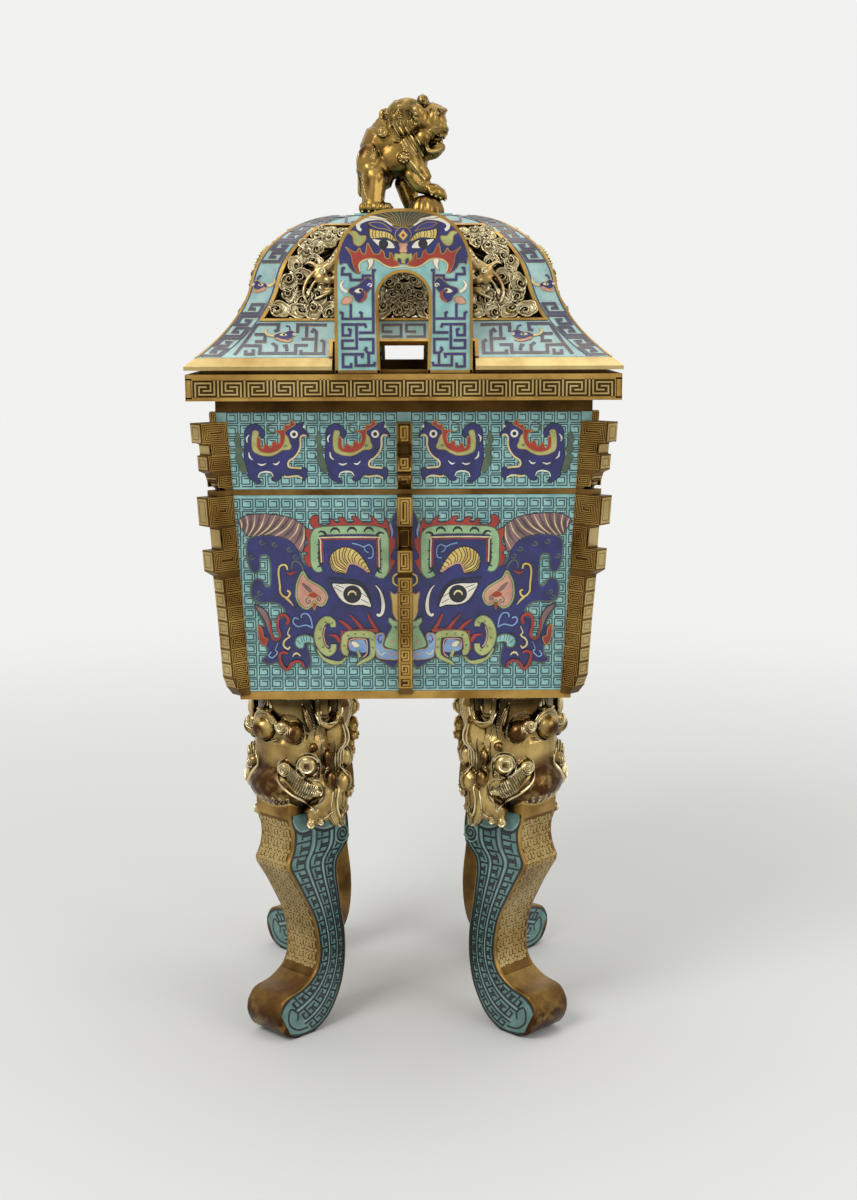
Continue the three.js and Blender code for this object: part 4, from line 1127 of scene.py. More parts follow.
def on_arch(reach, turn, squareness):
    """A place on an arch, seen from the middle of its spring line under an angle in radians."""
    across, up = math.cos(turn), max(math.sin(turn), 0.0)
    size = (abs(across) ** squareness + up**squareness) ** (-1 / squareness)
    return reach * size * across, reach * size * up


def arch_line(half, radius, spring_z, inset, squareness):
    """The line of an arch from its left foot to its right foot, drawn in by an inset."""
    turns = [math.pi * (1 - i / ARCH_STEPS) for i in range(ARCH_STEPS + 1)]
    arc = [on_arch(radius - inset, turn, squareness) for turn in turns]
    feet = [(way * (half - inset), HANDLE_FOOT_Z) for way in (-1, 1)]
    return feet[:1] + [(x, spring_z + z) for x, z in arc] + feet[1:]


edging = Sheet()
edge_depths = (EDGE_PROUD, -(HANDLE_THICK + EDGE_PROUD))
for line in (
    arch_line(HANDLE_HALF, ARCH_R, ARCH_Z, EDGE_WIDE / 2 - 0.3, SQUARENESS),
    arch_line(OPENING_HALF, OPENING_R, OPENING_Z, 0.3 - EDGE_WIDE / 2, 2.0),
):
    edging.bar(line, EDGE_WIDE, GILT, *edge_depths)
for foot in ((-HANDLE_HALF, -OPENING_HALF), (OPENING_HALF, HANDLE_HALF)):
    edging.tile(rectangle(*foot, HANDLE_FOOT_Z - 0.2, HANDLE_FOOT_Z + EDGE_WIDE), GILT, *edge_depths)
lay("handle_edging", "vessel", [(edging, handle_outside, FRONT_AND_BACK)])

# %% [markdown]
# The dragon's face: a blue ground and a green crown over the whole arch, then one half that is mirrored,
# with gold hairs, a horn, a striped brow, an eye, flames for whiskers and a fang, then the middle of the
# face with its jewel, nose and mouth, which is drawn once and last.

# %% The dragon's face
FACE_GROUND = [
    (58.5, 104), (57.5, 98), (52, 101), (49.6, 96.1), (44.5, 91.1), (39.4, 90.7), (41.1, 97.8), (37.8, 102),
    (30.2, 104.1), (23.4, 102.8), (18.3, 98.7), (11.6, 96.1), (4.8, 97.8), (0, 99.5),
]
FACE_FLAMES = [
    (52.5, 114.1), (47, 110.4), (42.8, 109.5), (39.9, 112.9), (37.8, 108.7), (34.4, 107.9), (32.7, 117.1),
    (30.2, 113.7), (26.8, 107.9), (21.7, 107.9), (20.4, 111.2), (17.5, 108.7), (16.6, 104.5), (12.4, 103.7),
    (12.4, 108.7), (9.9, 107), (8.2, 102), (4, 99.5), (4.8, 97.4), (11.6, 96.1), (18.3, 98.7), (23.4, 102.8),
    (30.2, 104.1), (37.8, 102), (41.1, 97.8), (39.4, 91.1), (42.8, 92), (46.2, 99.5), (47, 105.3),
    (49.2, 109.5),
]
FACE_HORN = [(38, 128.8), (40.4, 130.5), (40.8, 134.5), (36.5, 138), (28, 139.6), (18, 138.6), (9.9, 133)]
FACE_BROW_TOP = [(31.4, 133.8), (30.2, 130.5), (23.4, 128.8), (16.6, 127.9), (10.7, 125.4), (5.7, 118.7)]
FACE_BROW_LOW = [(30.6, 125.4), (29.3, 121.2), (23.4, 121.7), (16.6, 122.1), (11.6, 120.4), (6.5, 118.4)]
FACE_EYE = [
    (28.5, 121.2), (21.7, 120.6), (14.9, 120.4), (9.9, 117.9), (7.3, 112.9), (13.3, 112.5), (18.3, 112.9),
    (23.4, 115.4),
]
FACE_EAR = [
    (49.6, 127.1), (43.7, 127.9), (39.4, 123.8), (34.4, 123.8), (34.4, 120.4), (37.8, 116.2), (41.6, 115),
    (44.9, 117.9), (45.8, 123.8),
]
INNER_R = ARCH_R - EDGE_WIDE + 0.4
ARCH_RISE = ARCH_Z - HANDLE_FOOT_Z
FAN_HAIRS = 7


def arch_point(angle):
    x, z = on_arch(INNER_R, math.radians(angle), SQUARENESS)
    return x, ARCH_RISE + z


def mirrored(half):
    """A whole outline from its right half, which runs from the middle line outwards and back to it."""
    return half + [(-u, v) for u, v in reversed(half)]


def face_ground(sheet):
    arc = [arch_point(a) for a in range(90, 16, -4)]
    sheet.fill(mirrored(arc + smooth(FACE_GROUND, 3)), COBALT, 0.7, rounded=False)
    crown = [arch_point(a) for a in range(90, 53, -4)]
    crown += [(30, 139.5), (20, 137.5), (12, 134), (7, 131), (0, 130.5)]
    sheet.fill(mirrored(crown), CROWN_GREEN, 0.5, rounded=False)


def dragon_face(sheet):
    sheet.level = 0.5
    for i in range(FAN_HAIRS):
        foot = (0.7 + i * 1.3, 131.2 + 0.35 * i)
        tip = arch_point(88 - i * 4.8)
        bend = (foot[0] + 0.25 * (tip[0] - foot[0]), foot[1] + 0.6 * (tip[1] - foot[1]))
        sheet.bar([foot, bend, tip], 0.5, WIRE, 0.75)
    sheet.fill([(31, 135), (23.4, 136), (16.6, 133.8), (10.7, 128), (16.6, 130), (24, 131)], NAVY, 0.6)
    sheet.stroke(FACE_HORN, (2.4, 4.8, 1.6), WHITE, 0.5, BLACK)
    sheet.fill(FACE_BROW_TOP + FACE_BROW_LOW[::-1], YELLOW, 0.7, BLACK)
    sheet.hatch(FACE_BROW_LOW, FACE_BROW_TOP, 12, 0.55, BLACK, 0.12)
    sheet.fill(FACE_EYE, WHITE, 0.8, BLACK)
    sheet.disc((17.9, 116.6), 4.4, BLACK, 18)
    sheet.fill(FACE_EAR, LIME, 0.9)
    sheet.fill(FACE_FLAMES, RED, 0.8)
    lip = [(39.4, 92), (40.3, 97.8), (36.9, 101.6), (30.2, 103.3), (23.4, 101.8), (16.6, 97.4)]
    sheet.stroke(lip + [(9.9, 95.3), (0, 97)], 1.0, CREAM)
    sheet.fill([(32.7, 102.8), (27.6, 103.3), (28, 97.8), (32.7, 92.8), (31.4, 97.8)], WHITE, 0.6)
    sheet.curl((53.0, 103.5), 4.4, 1.4, 190, (1.2, 1.8, 1.4), NAVY)


def face_middle(sheet):
    sheet.level = 1.0
    sheet.fill(mirrored([(0, 118), (4, 116.5), (3, 113.5), (3.4, 109.5), (0, 108.5)]), PINK, 0.6)
    mouth = [(0, 109), (4, 107.5), (7.5, 107.8), (8, 103), (5.4, 101.5), (5, 104), (2, 103), (1.5, 99.5)]
    sheet.fill(mirrored(mouth + [(0, 99)]), LIME, 0.7)
    sheet.fill(spiral((0, 124.3), 7.4, 0.94, inner=7.4, steps=18), NAVY, 0.6, rounded=False)
    sheet.fill([(0, 129.2), (4.2, 124.3), (0, 119.5), (-4.2, 124.3)], YELLOW, 0.6, rounded=False)
    sheet.fill([(0, 126.4), (1.9, 124.3), (0, 122.2), (-1.9, 124.3)], RED, 0, rounded=False)


# %% The meander on the handle's legs
MEANDER = 2.2  # width of a meander line
MEANDER_LINES = (
    [(58.5, 55.5), (55.9, 54.5), (55.9, 49.4), (27.8, 49.4)],
    [(27.8, 83), (27.8, 36.8), (41.1, 36.8)],
    [(48.3, 49.4), (48.3, 63)],
    [(38.6, 49.4), (38.4, 54.5), (40.6, 55.6)],
    [(34.4, 41.2), (35.4, 44.3), (55.9, 44.3), (55.9, 34.3), (49.3, 34.3), (48.7, 39.3), (51.3, 40.2)],
    [(43.2, 44.3), (43.2, 22.6), (56.3, 22.6), (56.3, 29.7), (45.6, 29.7)],
    [(41.1, 30.9), (28, 30.9), (28, 18.4), (33, 18.4), (35.4, 21.5), (33.6, 23.8)],
    [(32.3, 18.4), (32.3, 7.5)],
    [(26.6, 10.2), (27.2, 7.1), (44.1, 6.9), (44.1, 17.4)],
    [(38.4, 13.8), (37.8, 17.3), (55.9, 17.3), (55.9, 5.8), (48.5, 5.8), (48.5, 9.4)],
    [
        (53, 95.3), (55.5, 94.8), (55.9, 89.4), (48.5, 89.4), (48, 84.4), (36.9, 84.4), (36.9, 88.2),
        (27.8, 88.2),
    ],
    [(27.6, 80), (27.6, 93.2), (25, 93)],
)


def meander(sheet):
    for line in MEANDER_LINES:
        sheet.stroke(line, MEANDER, NAVY, 0.25, rounded=False)


def little_dragon(sheet):
    head = [(29, 84), (33, 86.5), (38, 82.5), (43, 79), (49, 77), (50, 73), (46, 70), (44, 66), (40, 64)]
    sheet.fill(head + [(36, 66), (34.5, 71), (31, 75), (28.5, 79)], COBALT, 0.6)
    sheet.stroke([(39, 65), (35.5, 67.5), (34.5, 71.5), (36, 75)], (1.2, 2.4, 1.0), RED, 0.3)
    sheet.fill([(45, 74), (41, 77), (37, 76), (40, 72.5)], WHITE, 0.5)
    sheet.disc((39.2, 75), 1.5, BLACK, 10)
    sheet.curl((30.4, 79.4), 2.3, 1.2, 0, 0.9, WHITE)
    sheet.stroke([(54.6, 83.6), (57.2, 80.2), (55.5, 76.1), (51.3, 73.5)], (1.0, 2.6, 3.0), WHITE, 0.3)
    sheet.fill([(57, 64), (53, 69.5), (48, 68.5), (46.5, 66), (50, 63), (54, 62.5)], PINK, 0.6)


handle_sets = []
for surface in (handle_outside, handle_inside):
    for parts, sides in (
        ((face_ground,), (1,)),
        ((meander, little_dragon, dragon_face), (-1, 1)),
        ((face_middle,), (1,)),
    ):
        handle_sets += figures(parts, surface, FRONT_AND_BACK, HANDLE_FOOT_Z, sides)
lay("handle_enamels", "vessel", handle_sets)

# %% [markdown]
# The lid is a square roof with a hollow flare below and a round shoulder above, enamelled outside. A
# profile gives its half-width and height, and what lies on it is drawn with a distance across and a
# distance up the slope. The smooth shell takes the place of the frame's faceted one.

# %% The lid's profile
LID_EDGE_HALF, LID_EDGE_Z = 192.5, 682.0
LID_TOP_HALF, LID_TOP_Z = 62.0, 817.0
WAIST_HALF, WAIST_Z = 143.0, 752.0
LID_THICK = 4.0
HIP_BAND = 26.0  # from the hip to the window
WINDOW_Z, WINDOW_TOP_Z = 716.0, 805.0
NOTCH_HALF, NOTCH_TOP_Z = 66.0, 695.5


def bezier(points, steps):
    """The curve of some control points, without its last point."""
    run = []
    for i in range(steps):
        row = points
        while len(row) > 1:
            row = [tuple(a + (b - a) * i / steps for a, b in zip(p, q)) for p, q in zip(row, row[1:])]
        run.append(row[0])
    return run


def lid_profile():
    rise, drop = WAIST_Z - LID_EDGE_Z, LID_TOP_Z - WAIST_Z
    inset = LID_EDGE_HALF - WAIST_HALF
    flare = [(LID_EDGE_HALF, LID_EDGE_Z), (LID_EDGE_HALF - 0.82 * inset, LID_EDGE_Z + 0.43 * rise)]
    waist, top = (WAIST_HALF, WAIST_Z), (LID_TOP_HALF, LID_TOP_Z)
    lean = (WAIST_HALF - 0.36 * 0.08 * WAIST_HALF, WAIST_Z + 0.36 * drop)
    brow = (WAIST_HALF + 0.35 * (LID_TOP_HALF - WAIST_HALF), LID_TOP_Z - 0.08 * drop)
    return bezier(flare + [waist], 16) + bezier([waist, lean, brow, top], 24) + [top]


PROFILE = lid_profile()
ALONG = lengths(PROFILE)
SLOPE_LONG = ALONG[-1]


def on_profile(s):
    """Half-width, height and outward direction at a distance up the slope."""
    i, share = step_at(ALONG, s)
    (w0, z0), (w1, z1) = PROFILE[i], PROFILE[i + 1]
    before, after = PROFILE[max(i - 1, 0)], PROFILE[min(i + 2, len(PROFILE) - 1)]
    run = Vector((after[0] - before[0], after[1] - before[1])).normalized()
    return w0 + (w1 - w0) * share, z0 + (z1 - z0) * share, run.y, -run.x


def slope_at(z):
    """The distance up the slope of a height."""
    i, share = step_at([height for _, height in PROFILE], z)
    return ALONG[i] + (ALONG[i + 1] - ALONG[i]) * share


def slope(x, s, lift):
    half, z, out, rise = on_profile(s)
    return (x, -(half + out * lift), z + rise * lift)


WINDOW_S, WINDOW_TOP_S, NOTCH_S = slope_at(WINDOW_Z), slope_at(WINDOW_TOP_Z), slope_at(NOTCH_TOP_Z)
print("slope", round(SLOPE_LONG, 1), "mm, window from", round(WINDOW_S, 1), "to", round(WINDOW_TOP_S, 1))


# %% The smooth shell
ROW_PITCH = 6.0


def lid_rows():
    marks = (0.0, NOTCH_S, WINDOW_S, WINDOW_TOP_S, SLOPE_LONG)
    rows = []
    for low, high in zip(marks, marks[1:]):
        count = max(1, round((high - low) / ROW_PITCH))
        rows += [low + (high - low) * i / count for i in range(count)]
    return rows + [SLOPE_LONG]


LID_SHARP = 35  # degrees


def lid_shell():
    rows = lid_rows()
    grid = bmesh.new()
    top_ring = []
    for turn in ALL_SIDES:
        spin = quarter_turn(turn)
        lines = []
        for s in rows:
            half = on_profile(s)[0]
            inner = half - HIP_BAND
            column = min(NOTCH_HALF, 0.6 * inner)
            across = (-half, -inner, -column, column, inner, half)
            lines.append([grid.verts.new(spin @ (Vector(slope(x, s, 0)) * MM)) for x in across])
        for i, s in enumerate(rows[:-1]):
            middle = s + 0.01
            for j in range(5):
                in_window = WINDOW_S < middle < WINDOW_TOP_S and 1 <= j <= 3
                in_notch = middle < NOTCH_S and j == 2 and turn in FRONT_AND_BACK
                if not in_window and not in_notch:
                    a, b = lines[i], lines[i + 1]
                    grid.faces.new((a[j], a[j + 1], b[j + 1], b[j]))
        top_ring += lines[-1][:-1]
    grid.faces.new(top_ring)
    bmesh.ops.remove_doubles(grid, verts=grid.verts[:], dist=TINY)
    carrier = linked("carrier", mesh_from("lid_enamel_shell", grid))
    wall_skin = carrier.modifiers.new("wall", "SOLIDIFY")
    wall_skin.thickness = LID_THICK * MM
    wall_skin.offset = -1.0
    wall_skin.use_even_offset = True
    made = evaluated(carrier)
    made.name = "lid_enamel_shell"
    # The shell takes the paler turquoise, painted top light.
    made.materials.append(TOPLIT_TURQUOISE)
    return shaded(made, LID_SHARP)


piece(lid_shell(), "lid", ("lid_shell",))

# %% [markdown]
# Gilt borders stand round the windows and the notches, and slate-blue key-frets run up the hips and along
# the foot and the top of the slope. A fret line that climbs the slope has a point every few millimetres,
# so that it bends with the surface.

# %% Borders and frets of the lid
BORDER, BORDER_DEEP = 3.2, 4.5
WINDOW_STEPS = 24


def finely(path, step=5.0):
    """The same path with points close enough together to bend with the slope."""
    run = []
    for a, b in zip(path, path[1:]):
        count = max(1, math.ceil(math.dist(a, b) / step))
        run += [tuple(p + (q - p) * i / count for p, q in zip(a, b)) for i in range(count)]
    return run + [path[-1]]


def window_line(outset):
    """The window's outline, drawn out by a little, in distances across and up the slope."""
    low, high = WINDOW_S - outset, WINDOW_TOP_S + outset
    heights = [low + (high - low) * i / WINDOW_STEPS for i in range(WINDOW_STEPS + 1)]
    return mirrored([(on_profile(s)[0] - HIP_BAND + outset, s) for s in heights])


borders = Sheet()
borders.bar(window_line(BORDER / 2 - 1.2), BORDER, GILT, 1.4, -BORDER_DEEP, closed=True)
notch_borders = Sheet()
notch_x, notch_top = NOTCH_HALF + 1.5, NOTCH_S + 1.5
notch_line = [(notch_x, 0), (notch_x, notch_top), (-notch_x, notch_top), (-notch_x, 0)]
notch_borders.bar(finely(notch_line), BORDER, GILT, 1.2, -BORDER_DEEP)
hips = Sheet()
for side in (-1, 1):
    hips.bar([(side * (on_profile(s)[0] - 0.7), s) for s in range(0, 196, 4)], 1.6, WIRE, 0.45)
border_sets = [(borders, slope, ALL_SIDES), (hips, slope, ALL_SIDES), (notch_borders, slope, FRONT_AND_BACK)]
lay("lid_borders", "lid", border_sets)

KEY_PITCH = 26.0
KEY_HOOKS = (
    [(2.6, 3), (21, 3), (21, 12.5), (9, 12.5), (9, 7.8), (15, 7.8)],
    [(23.6, 26), (5, 26), (5, 16.5), (17, 16.5), (17, 21.2), (11, 21.2)],
)
LID_LINE, SHORT_LINE = 3.0, 2.4  # widths of a fret's line
HIP_DRAGON_S = 84.0  # where the small dragon's head sits in the hip's fret
HIP_DRAGON_HALF = 13.0


def fret_line(sheet, path, width=LID_LINE, step=5.0):
    sheet.stroke(finely(path, step), width, SLATE, 0.25, rounded=False)


def hip_band(sheet):
    """The fret on a hip, drawn with the distance in from the hip, and a dragon's head in its middle."""
    mirror = sheet.place
    sheet.place = lambda w, s: mirror(on_profile(s)[0] - w, s)
    for w in (2.2, HIP_BAND - 3.6):
        sheet.stroke(finely([(w, 1), (w, SLOPE_LONG - 3)]), 1.0, SLATE, rounded=False)
    for unit in range(int(SLOPE_LONG // KEY_PITCH)):
        for hook in KEY_HOOKS:
            line = [(w * 0.88 + 0.8, s + unit * KEY_PITCH) for w, s in hook]
            if all(abs(s - HIP_DRAGON_S) > HIP_DRAGON_HALF for _, s in finely(line, 4)):
                fret_line(sheet, line, step=4)
    hip = sheet.place
    sheet.place = lambda u, s: hip(0.72 * (u - 101) + 1.5, HIP_DRAGON_S + 0.8 * (s - 30))
    lid_dragon(sheet)


FOOT_LINES = (
    [(156, 4), (137, 43)],
    [(137, 43), (117, 43), (117.5, 36), (121, 35)],
    [(99, 33), (99, 42.5), (72, 42)],
    [(90.5, 42), (90.5, 25)],
    [(95, 25), (81.5, 25)],
    [(86, 33), (84, 36.5), (81.5, 34), (81.5, 6)],
    [(95, 10), (95, 5.5), (74, 5.5), (74, 21), (77, 24)],
    [(150, 17), (133, 16.5), (133, 6), (100, 6), (100, 17), (89, 17)],
    [(118, 6), (118, 16), (122, 20)],
    [(112, 16), (109, 16.5), (108, 9.5)],
    [(139, 31), (129, 31), (129, 22), (138, 22)],
    [(146, 10), (146, 5), (139, 5), (139, 11)],
)
MIDDLE_LINES = (
    [(62, 42), (40, 42), (40, 30), (52, 30), (52, 36)],
    [(62, 6), (62, 20), (48, 20), (48, 12), (56, 12)],
    [(62, 42), (62, 27)],
    [(40, 6), (40, 20), (27, 20), (27, 12), (34, 12)],
    [(31, 42), (10, 42), (10, 30), (22, 30), (22, 36)],
    [(31, 42), (31, 27)],
    [(18, 6), (18, 20), (5, 20)],
    [(40, 6), (5, 6), (5, 12), (11, 12)],
)


def lid_dragon(sheet):
    head = [(101, 33), (106, 35.5), (111, 33), (117, 32), (121, 28.5), (117, 25), (110, 24), (103, 27)]
    sheet.fill(head, COBALT, 0.5)
    sheet.fill([(116, 30), (112, 32), (108.5, 30), (112, 28.5)], WHITE, 0.4)
    sheet.disc((111.5, 30.3), 1.3, BLACK, 8)
    sheet.stroke([(119, 26), (113, 23), (107, 22), (103, 24)], (2.6, 2.2, 1.0), PINK, 0.3)
    sheet.stroke([(127, 38), (129, 34), (126, 30), (121, 29)], (0.8, 2.2, 2.6), CREAM, 0.3)
    sheet.curl((102, 31), 2.0, 1.2, 180, 0.9, WHITE)
    sheet.stroke([(106, 36), (107, 40), (110, 41)], 1.6, SLATE)


def foot_corners(sheet):
    for line in FOOT_LINES:
        fret_line(sheet, line)


def foot_middle(sheet):
    for line in MIDDLE_LINES:
        fret_line(sheet, line)


def strip_over_notch(sheet):
    """The short fret over the notch, seen through the handle's opening."""
    low, high = NOTCH_S + 7, WINDOW_S - 6
    for x in (22 * i + 2.5 for i in range(-3, 3)):
        hook = [(x, low), (x + 17, low), (x + 17, high), (x, high), (x, low + 6), (x + 9, low + 6)]
        fret_line(sheet, hook, SHORT_LINE)


def top_band(sheet):
    low, high = WINDOW_TOP_S + 5.2, SLOPE_LONG - 4.5
    for x in (19 * i + 1.8 for i in range(-3, 3)):
        end = x + 15.5
        hook = [(end, low), (x, low), (x, high), (end, high), (end, low + 4.2), (x + 5, low + 4.2)]
        fret_line(sheet, hook, SHORT_LINE)


fret_sets = []
for parts, turns, sides in (
    ((hip_band,), ALL_SIDES, (-1, 1)),
    ((foot_corners, lid_dragon), ALL_SIDES, (-1, 1)),
    ((foot_middle,), (1, 3), (-1, 1)),
    ((strip_over_notch,), FRONT_AND_BACK, (1,)),
    ((top_band,), ALL_SIDES, (1,)),
):
    fret_sets += figures(parts, slope, turns, sides=sides)
lay("lid_key_frets", "lid", fret_sets)

# %% [markdown]
# Behind each window is a cast panel of clouds and two dragons. A cloud is a lobed disc with a snail curl on
# it. It is made once, and the nodes set it on listed points, each with its own size and turn. Stems join the
# clouds, and the dragons are modelled, fused and chased as the other cast pieces are. All of it is made flat
# and then bent onto the slope.

# %% The cloud and the nodes that place it
CLOUD_SPOTS = (  # across, up the slope, size, turn in degrees
    (116, 59, 9.0, 20), (99, 57, 8.5, 200), (84, 57, 8.5, 100), (69, 58, 8.0, 300), (53, 58, 8.5, 30),
    (37, 57, 8.5, 210), (20, 57.5, 8.5, 120), (4, 59, 7.0, 300), (107, 74, 7.5, 60), (94, 71, 8.5, 320),
    (79, 71, 8.0, 80), (44, 72, 8.0, 250), (28, 73, 8.0, 15), (12, 72, 7.5, 160), (108, 86, 8.5, 120),
    (95, 92, 8.5, 10), (102, 104, 7.5, 260), (92, 113, 7.5, 130), (83, 107, 7.0, 30), (82, 122, 8.0, 300),
    (92, 127, 7.0, 200), (70, 131, 8.0, 90), (80, 136, 7.5, 20), (80, 147, 6.5, 160), (68, 144, 7.0, 250),
    (56, 142, 7.0, 50), (44, 145, 7.0, 200), (31, 144, 7.0, 340), (18, 146, 7.0, 90), (6, 143, 6.5, 240),
    (53, 128, 6.5, 130), (12, 128, 7.5, 20), (26, 130, 6.5, 280), (12, 88, 7.0, 330), (4, 79, 6.5, 100),
    (5, 96, 6.5, 240), (62, 70, 6.0, 10), (24, 96, 6.0, 80), (4, 68, 7.0, 200), (12, 64, 6.5, 45),
    (20, 66, 6.0, 300), (36, 65, 6.0, 10),
)
STEMS = (
    [(122, 56), (108, 65), (100, 80), (106, 96), (96, 108), (99, 121), (86, 130), (74, 140)],
    [(110, 57), (92, 62), (76, 58), (60, 63), (44, 58), (28, 63), (10, 58), (0, 64)],
    [(101, 66), (88, 78), (72, 76), (64, 66)],
    [(50, 66), (36, 78), (20, 76), (8, 66)],
    [(90, 120), (76, 128), (62, 134), (48, 138), (30, 137), (10, 136), (0, 138)],
    [(18, 122), (8, 112), (14, 98), (8, 84), (16, 70)],
)
CLOUD_RINGS, CLOUD_SEGMENTS = 11, 30
SNAIL = (-0.3, -0.2)  # the middle of a cloud's snail curl
SNAIL_REACH, SNAIL_PITCH = 0.62, 0.38


def swell(distance, wide):
    return math.exp(-((distance / wide) ** 2))


def cloud_height(x, y, out):
    """Height of a cloud of radius 1: a snail curl near one side, and ridges along the lobed edge."""
    far = math.hypot(x - SNAIL[0], y - SNAIL[1])
    if far < SNAIL_REACH:
        turn = math.atan2(y - SNAIL[1], x - SNAIL[0])
        ridge = 0.5 + 0.5 * math.cos(math.tau * far / SNAIL_PITCH - turn)
        return 0.05 + (0.66 - 0.35 * far) * ridge
    return 0.05 + 0.4 * max(swell(out - 0.88, 0.1), 0.4 * swell(out - 0.62, 0.06))


def cloud_unit():
    """A lobed, slightly long cloud of radius 1."""
    cloud = bmesh.new()
    rings = []
    for k in range(CLOUD_RINGS):
        out = k / (CLOUD_RINGS - 1)
        ring = []
        for j in range(CLOUD_SEGMENTS):
            turn = math.tau * j / CLOUD_SEGMENTS
            lobe = 1 + 0.2 * abs(math.sin(2.5 * turn)) * out
            x, y = out * lobe * math.cos(turn), out * lobe * math.sin(turn)
            rise = cloud_height(x, y, out) if k < CLOUD_RINGS - 1 else -0.1
            ring.append(cloud.verts.new((1.12 * x, 0.9 * y, rise)))
        rings.append(ring)
    for a, b in zip(rings, rings[1:]):
        for j in range(CLOUD_SEGMENTS):
            k = (j + 1) % CLOUD_SEGMENTS
            cloud.faces.new((a[j], b[j], b[k], a[k]))
    cloud.faces.new(rings[-1][::-1])
    bmesh.ops.remove_doubles(cloud, verts=cloud.verts[:], dist=1e-5)
    return mesh_from("cloud_unit", cloud)


def scatter_tree():
    """Sets a unit on every point, with the point's own size and turn."""
    kinds = {"Points": "Geometry", "Unit": "Object", "Finish": "Material"}
    tree, given = node_tree("set_on_points", kinds)
    unit = add_node(tree, "GeometryNodeObjectInfo", Object=given["Unit"]).outputs["Geometry"]
    size, turn = (
        add_node(tree, "GeometryNodeInputNamedAttribute", {"data_type": "FLOAT", "Name": name})
        for name in ("size", "turn")
    )
    ways = {axis: size.outputs["Attribute"] for axis in "XYZ"}
    sizes = add_node(tree, "ShaderNodeCombineXYZ", **ways).outputs[0]
    turns = add_node(tree, "ShaderNodeCombineXYZ", Z=turn.outputs["Attribute"]).outputs[0]
    links = {"Points": given["Points"], "Instance": unit, "Rotation": turns, "Scale": sizes}
    return made_real(tree, add_node(tree, "GeometryNodeInstanceOnPoints", **links), given["Finish"])


SCATTER = scatter_tree()


def clouds_in_flat():
    """All clouds of one panel as one mesh, flat, in mm."""
    both = [(x * side, s, size, turn * side) for side in (-1, 1) for x, s, size, turn in CLOUD_SPOTS]
    spots = mesh_of("cloud_spots", [(x, s, 1.0) for x, s, _, _ in both], [], [])
    sizes, turns = [spot[2] for spot in both], [math.radians(spot[3]) for spot in both]
    for name, values in (("size", sizes), ("turn", turns)):
        spots.attributes.new(name, "FLOAT", "POINT").data.foreach_set("value", values)
    unit = bpy.data.objects.new("cloud_unit", cloud_unit())
    return grown(spots, SCATTER, Unit=unit, Finish=OPENWORK_GILT)


def bent(mesh):
    """A flat mesh in mm bent onto the lid's slope, a little inside its face."""
    for vertex in mesh.vertices:
        x, s, rise = vertex.co
        vertex.co = Vector(slope(x, s, rise - PANEL_DEEP)) * MM
    return mesh


# %% Stems, dragons and the finished panels
JEWEL_S, JEWEL_REACH = 108, 17  # the flaming jewel between the dragons
PANEL_DEEP = 1.6


def flat_look(x, s):
    return Vector((x, s, 60)), Vector((0, 0, -1))


def dragon(casting, side):
    def at(points):
        return [(x * side, s, rise) for x, s, rise in points]

    neck = [(80, 96, 1), (66, 104, 4), (58, 116, 4), (44, 121, 4), (34, 110, 4)]
    casting.arm(at(neck + [(38, 97, 4), (28, 86, 3), (18, 100, 2), (20, 114, 2)]), (6.5, 6.0, 1.6), 5)
    casting.arm(at([(66, 104, 3), (64, 92, 3), (56, 84, 3), (50, 88, 4)]), (3.6, 2.8, 2.2))
    casting.arm(at([(36, 102, 3), (46, 98, 3), (52, 104, 4)]), (3.2, 2.4, 2.0))
    for x, s in ((50, 88), (52, 104)):
        for way in (-1, 0, 1):
            claw = [(x, s, 4), (x - 4 + way, s + 3.6 * way, 5), (x - 7, s + 5 * way, 2.5)]
            casting.arm(at(claw), (1.3, 1.1, 0.6))
    for centre, radii in (
        ((77, 90, 4), (7.5, 6.5, 5.0)),
        ((70, 87, 5), (6.0, 4.4, 4.6)),
        ((64.5, 89, 6), (3.4, 3.4, 3.6)),
        ((70, 79, 3.6), (6.5, 2.4, 3.0)),
        ((76, 95, 7.5), (2.8, 2.8, 2.8)),
        ((77, 80, 3), (5.5, 5.0, 3.6)),
    ):
        casting.lump(at([centre])[0], radii)
    for path, radii in (
        ([(80, 99, 6), (88, 104, 6), (93, 103, 3.5)], (2.2, 1.6, 0.8)),
        ([(65, 99, 4), (79, 98, 5), (90, 88, 5.5), (94, 75, 4.5), (91, 66, 3)], (1.6, 2.2, 1.6)),
        ([(79, 92, 4), (86, 82, 5), (89.5, 72, 4)], (1.3, 1.8, 1.2)),
        ([(64, 79, 4), (72, 74, 4.5), (83, 69, 4)], (1.4, 2.0, 1.3)),
    ):
        casting.arm(at(path), radii)


def dragon_hair(skin, side):
    def line(points, width):
        skin.line([(x * side, s) for x, s in points], width, 4, 0.8)

    for x, s in ((84.5, 89), (87.5, 80), (82.5, 76), (74, 72.5), (68, 94)):
        line([(x, s), (x + 2.2, s - 4), (x + 2.4, s - 8)], (1.0, 1.8, 0.8))
    line([(66, 92), (60, 97), (56, 94)], (1.4, 1.2, 0.7))
    skin.rings((76 * side, 95), (2.2,), 1.1, 1.0, 0, 360, 0.8)
    skin.curl((64.5 * side, 89.5), 2.6, 1.3, 0, 1.0, 0, 0.8)
    skin.curl((77 * side, 80.3), 4.6, 1.6, 0, 1.4, 0, 0.9)
    spine = smooth([(70, 103), (58, 116), (44, 121), (34, 110), (38, 97), (28, 86), (18, 100), (20, 114)], 9)
    for x, s in spine[::2]:
        skin.bead((x * side, s), 1.5, 1.9)


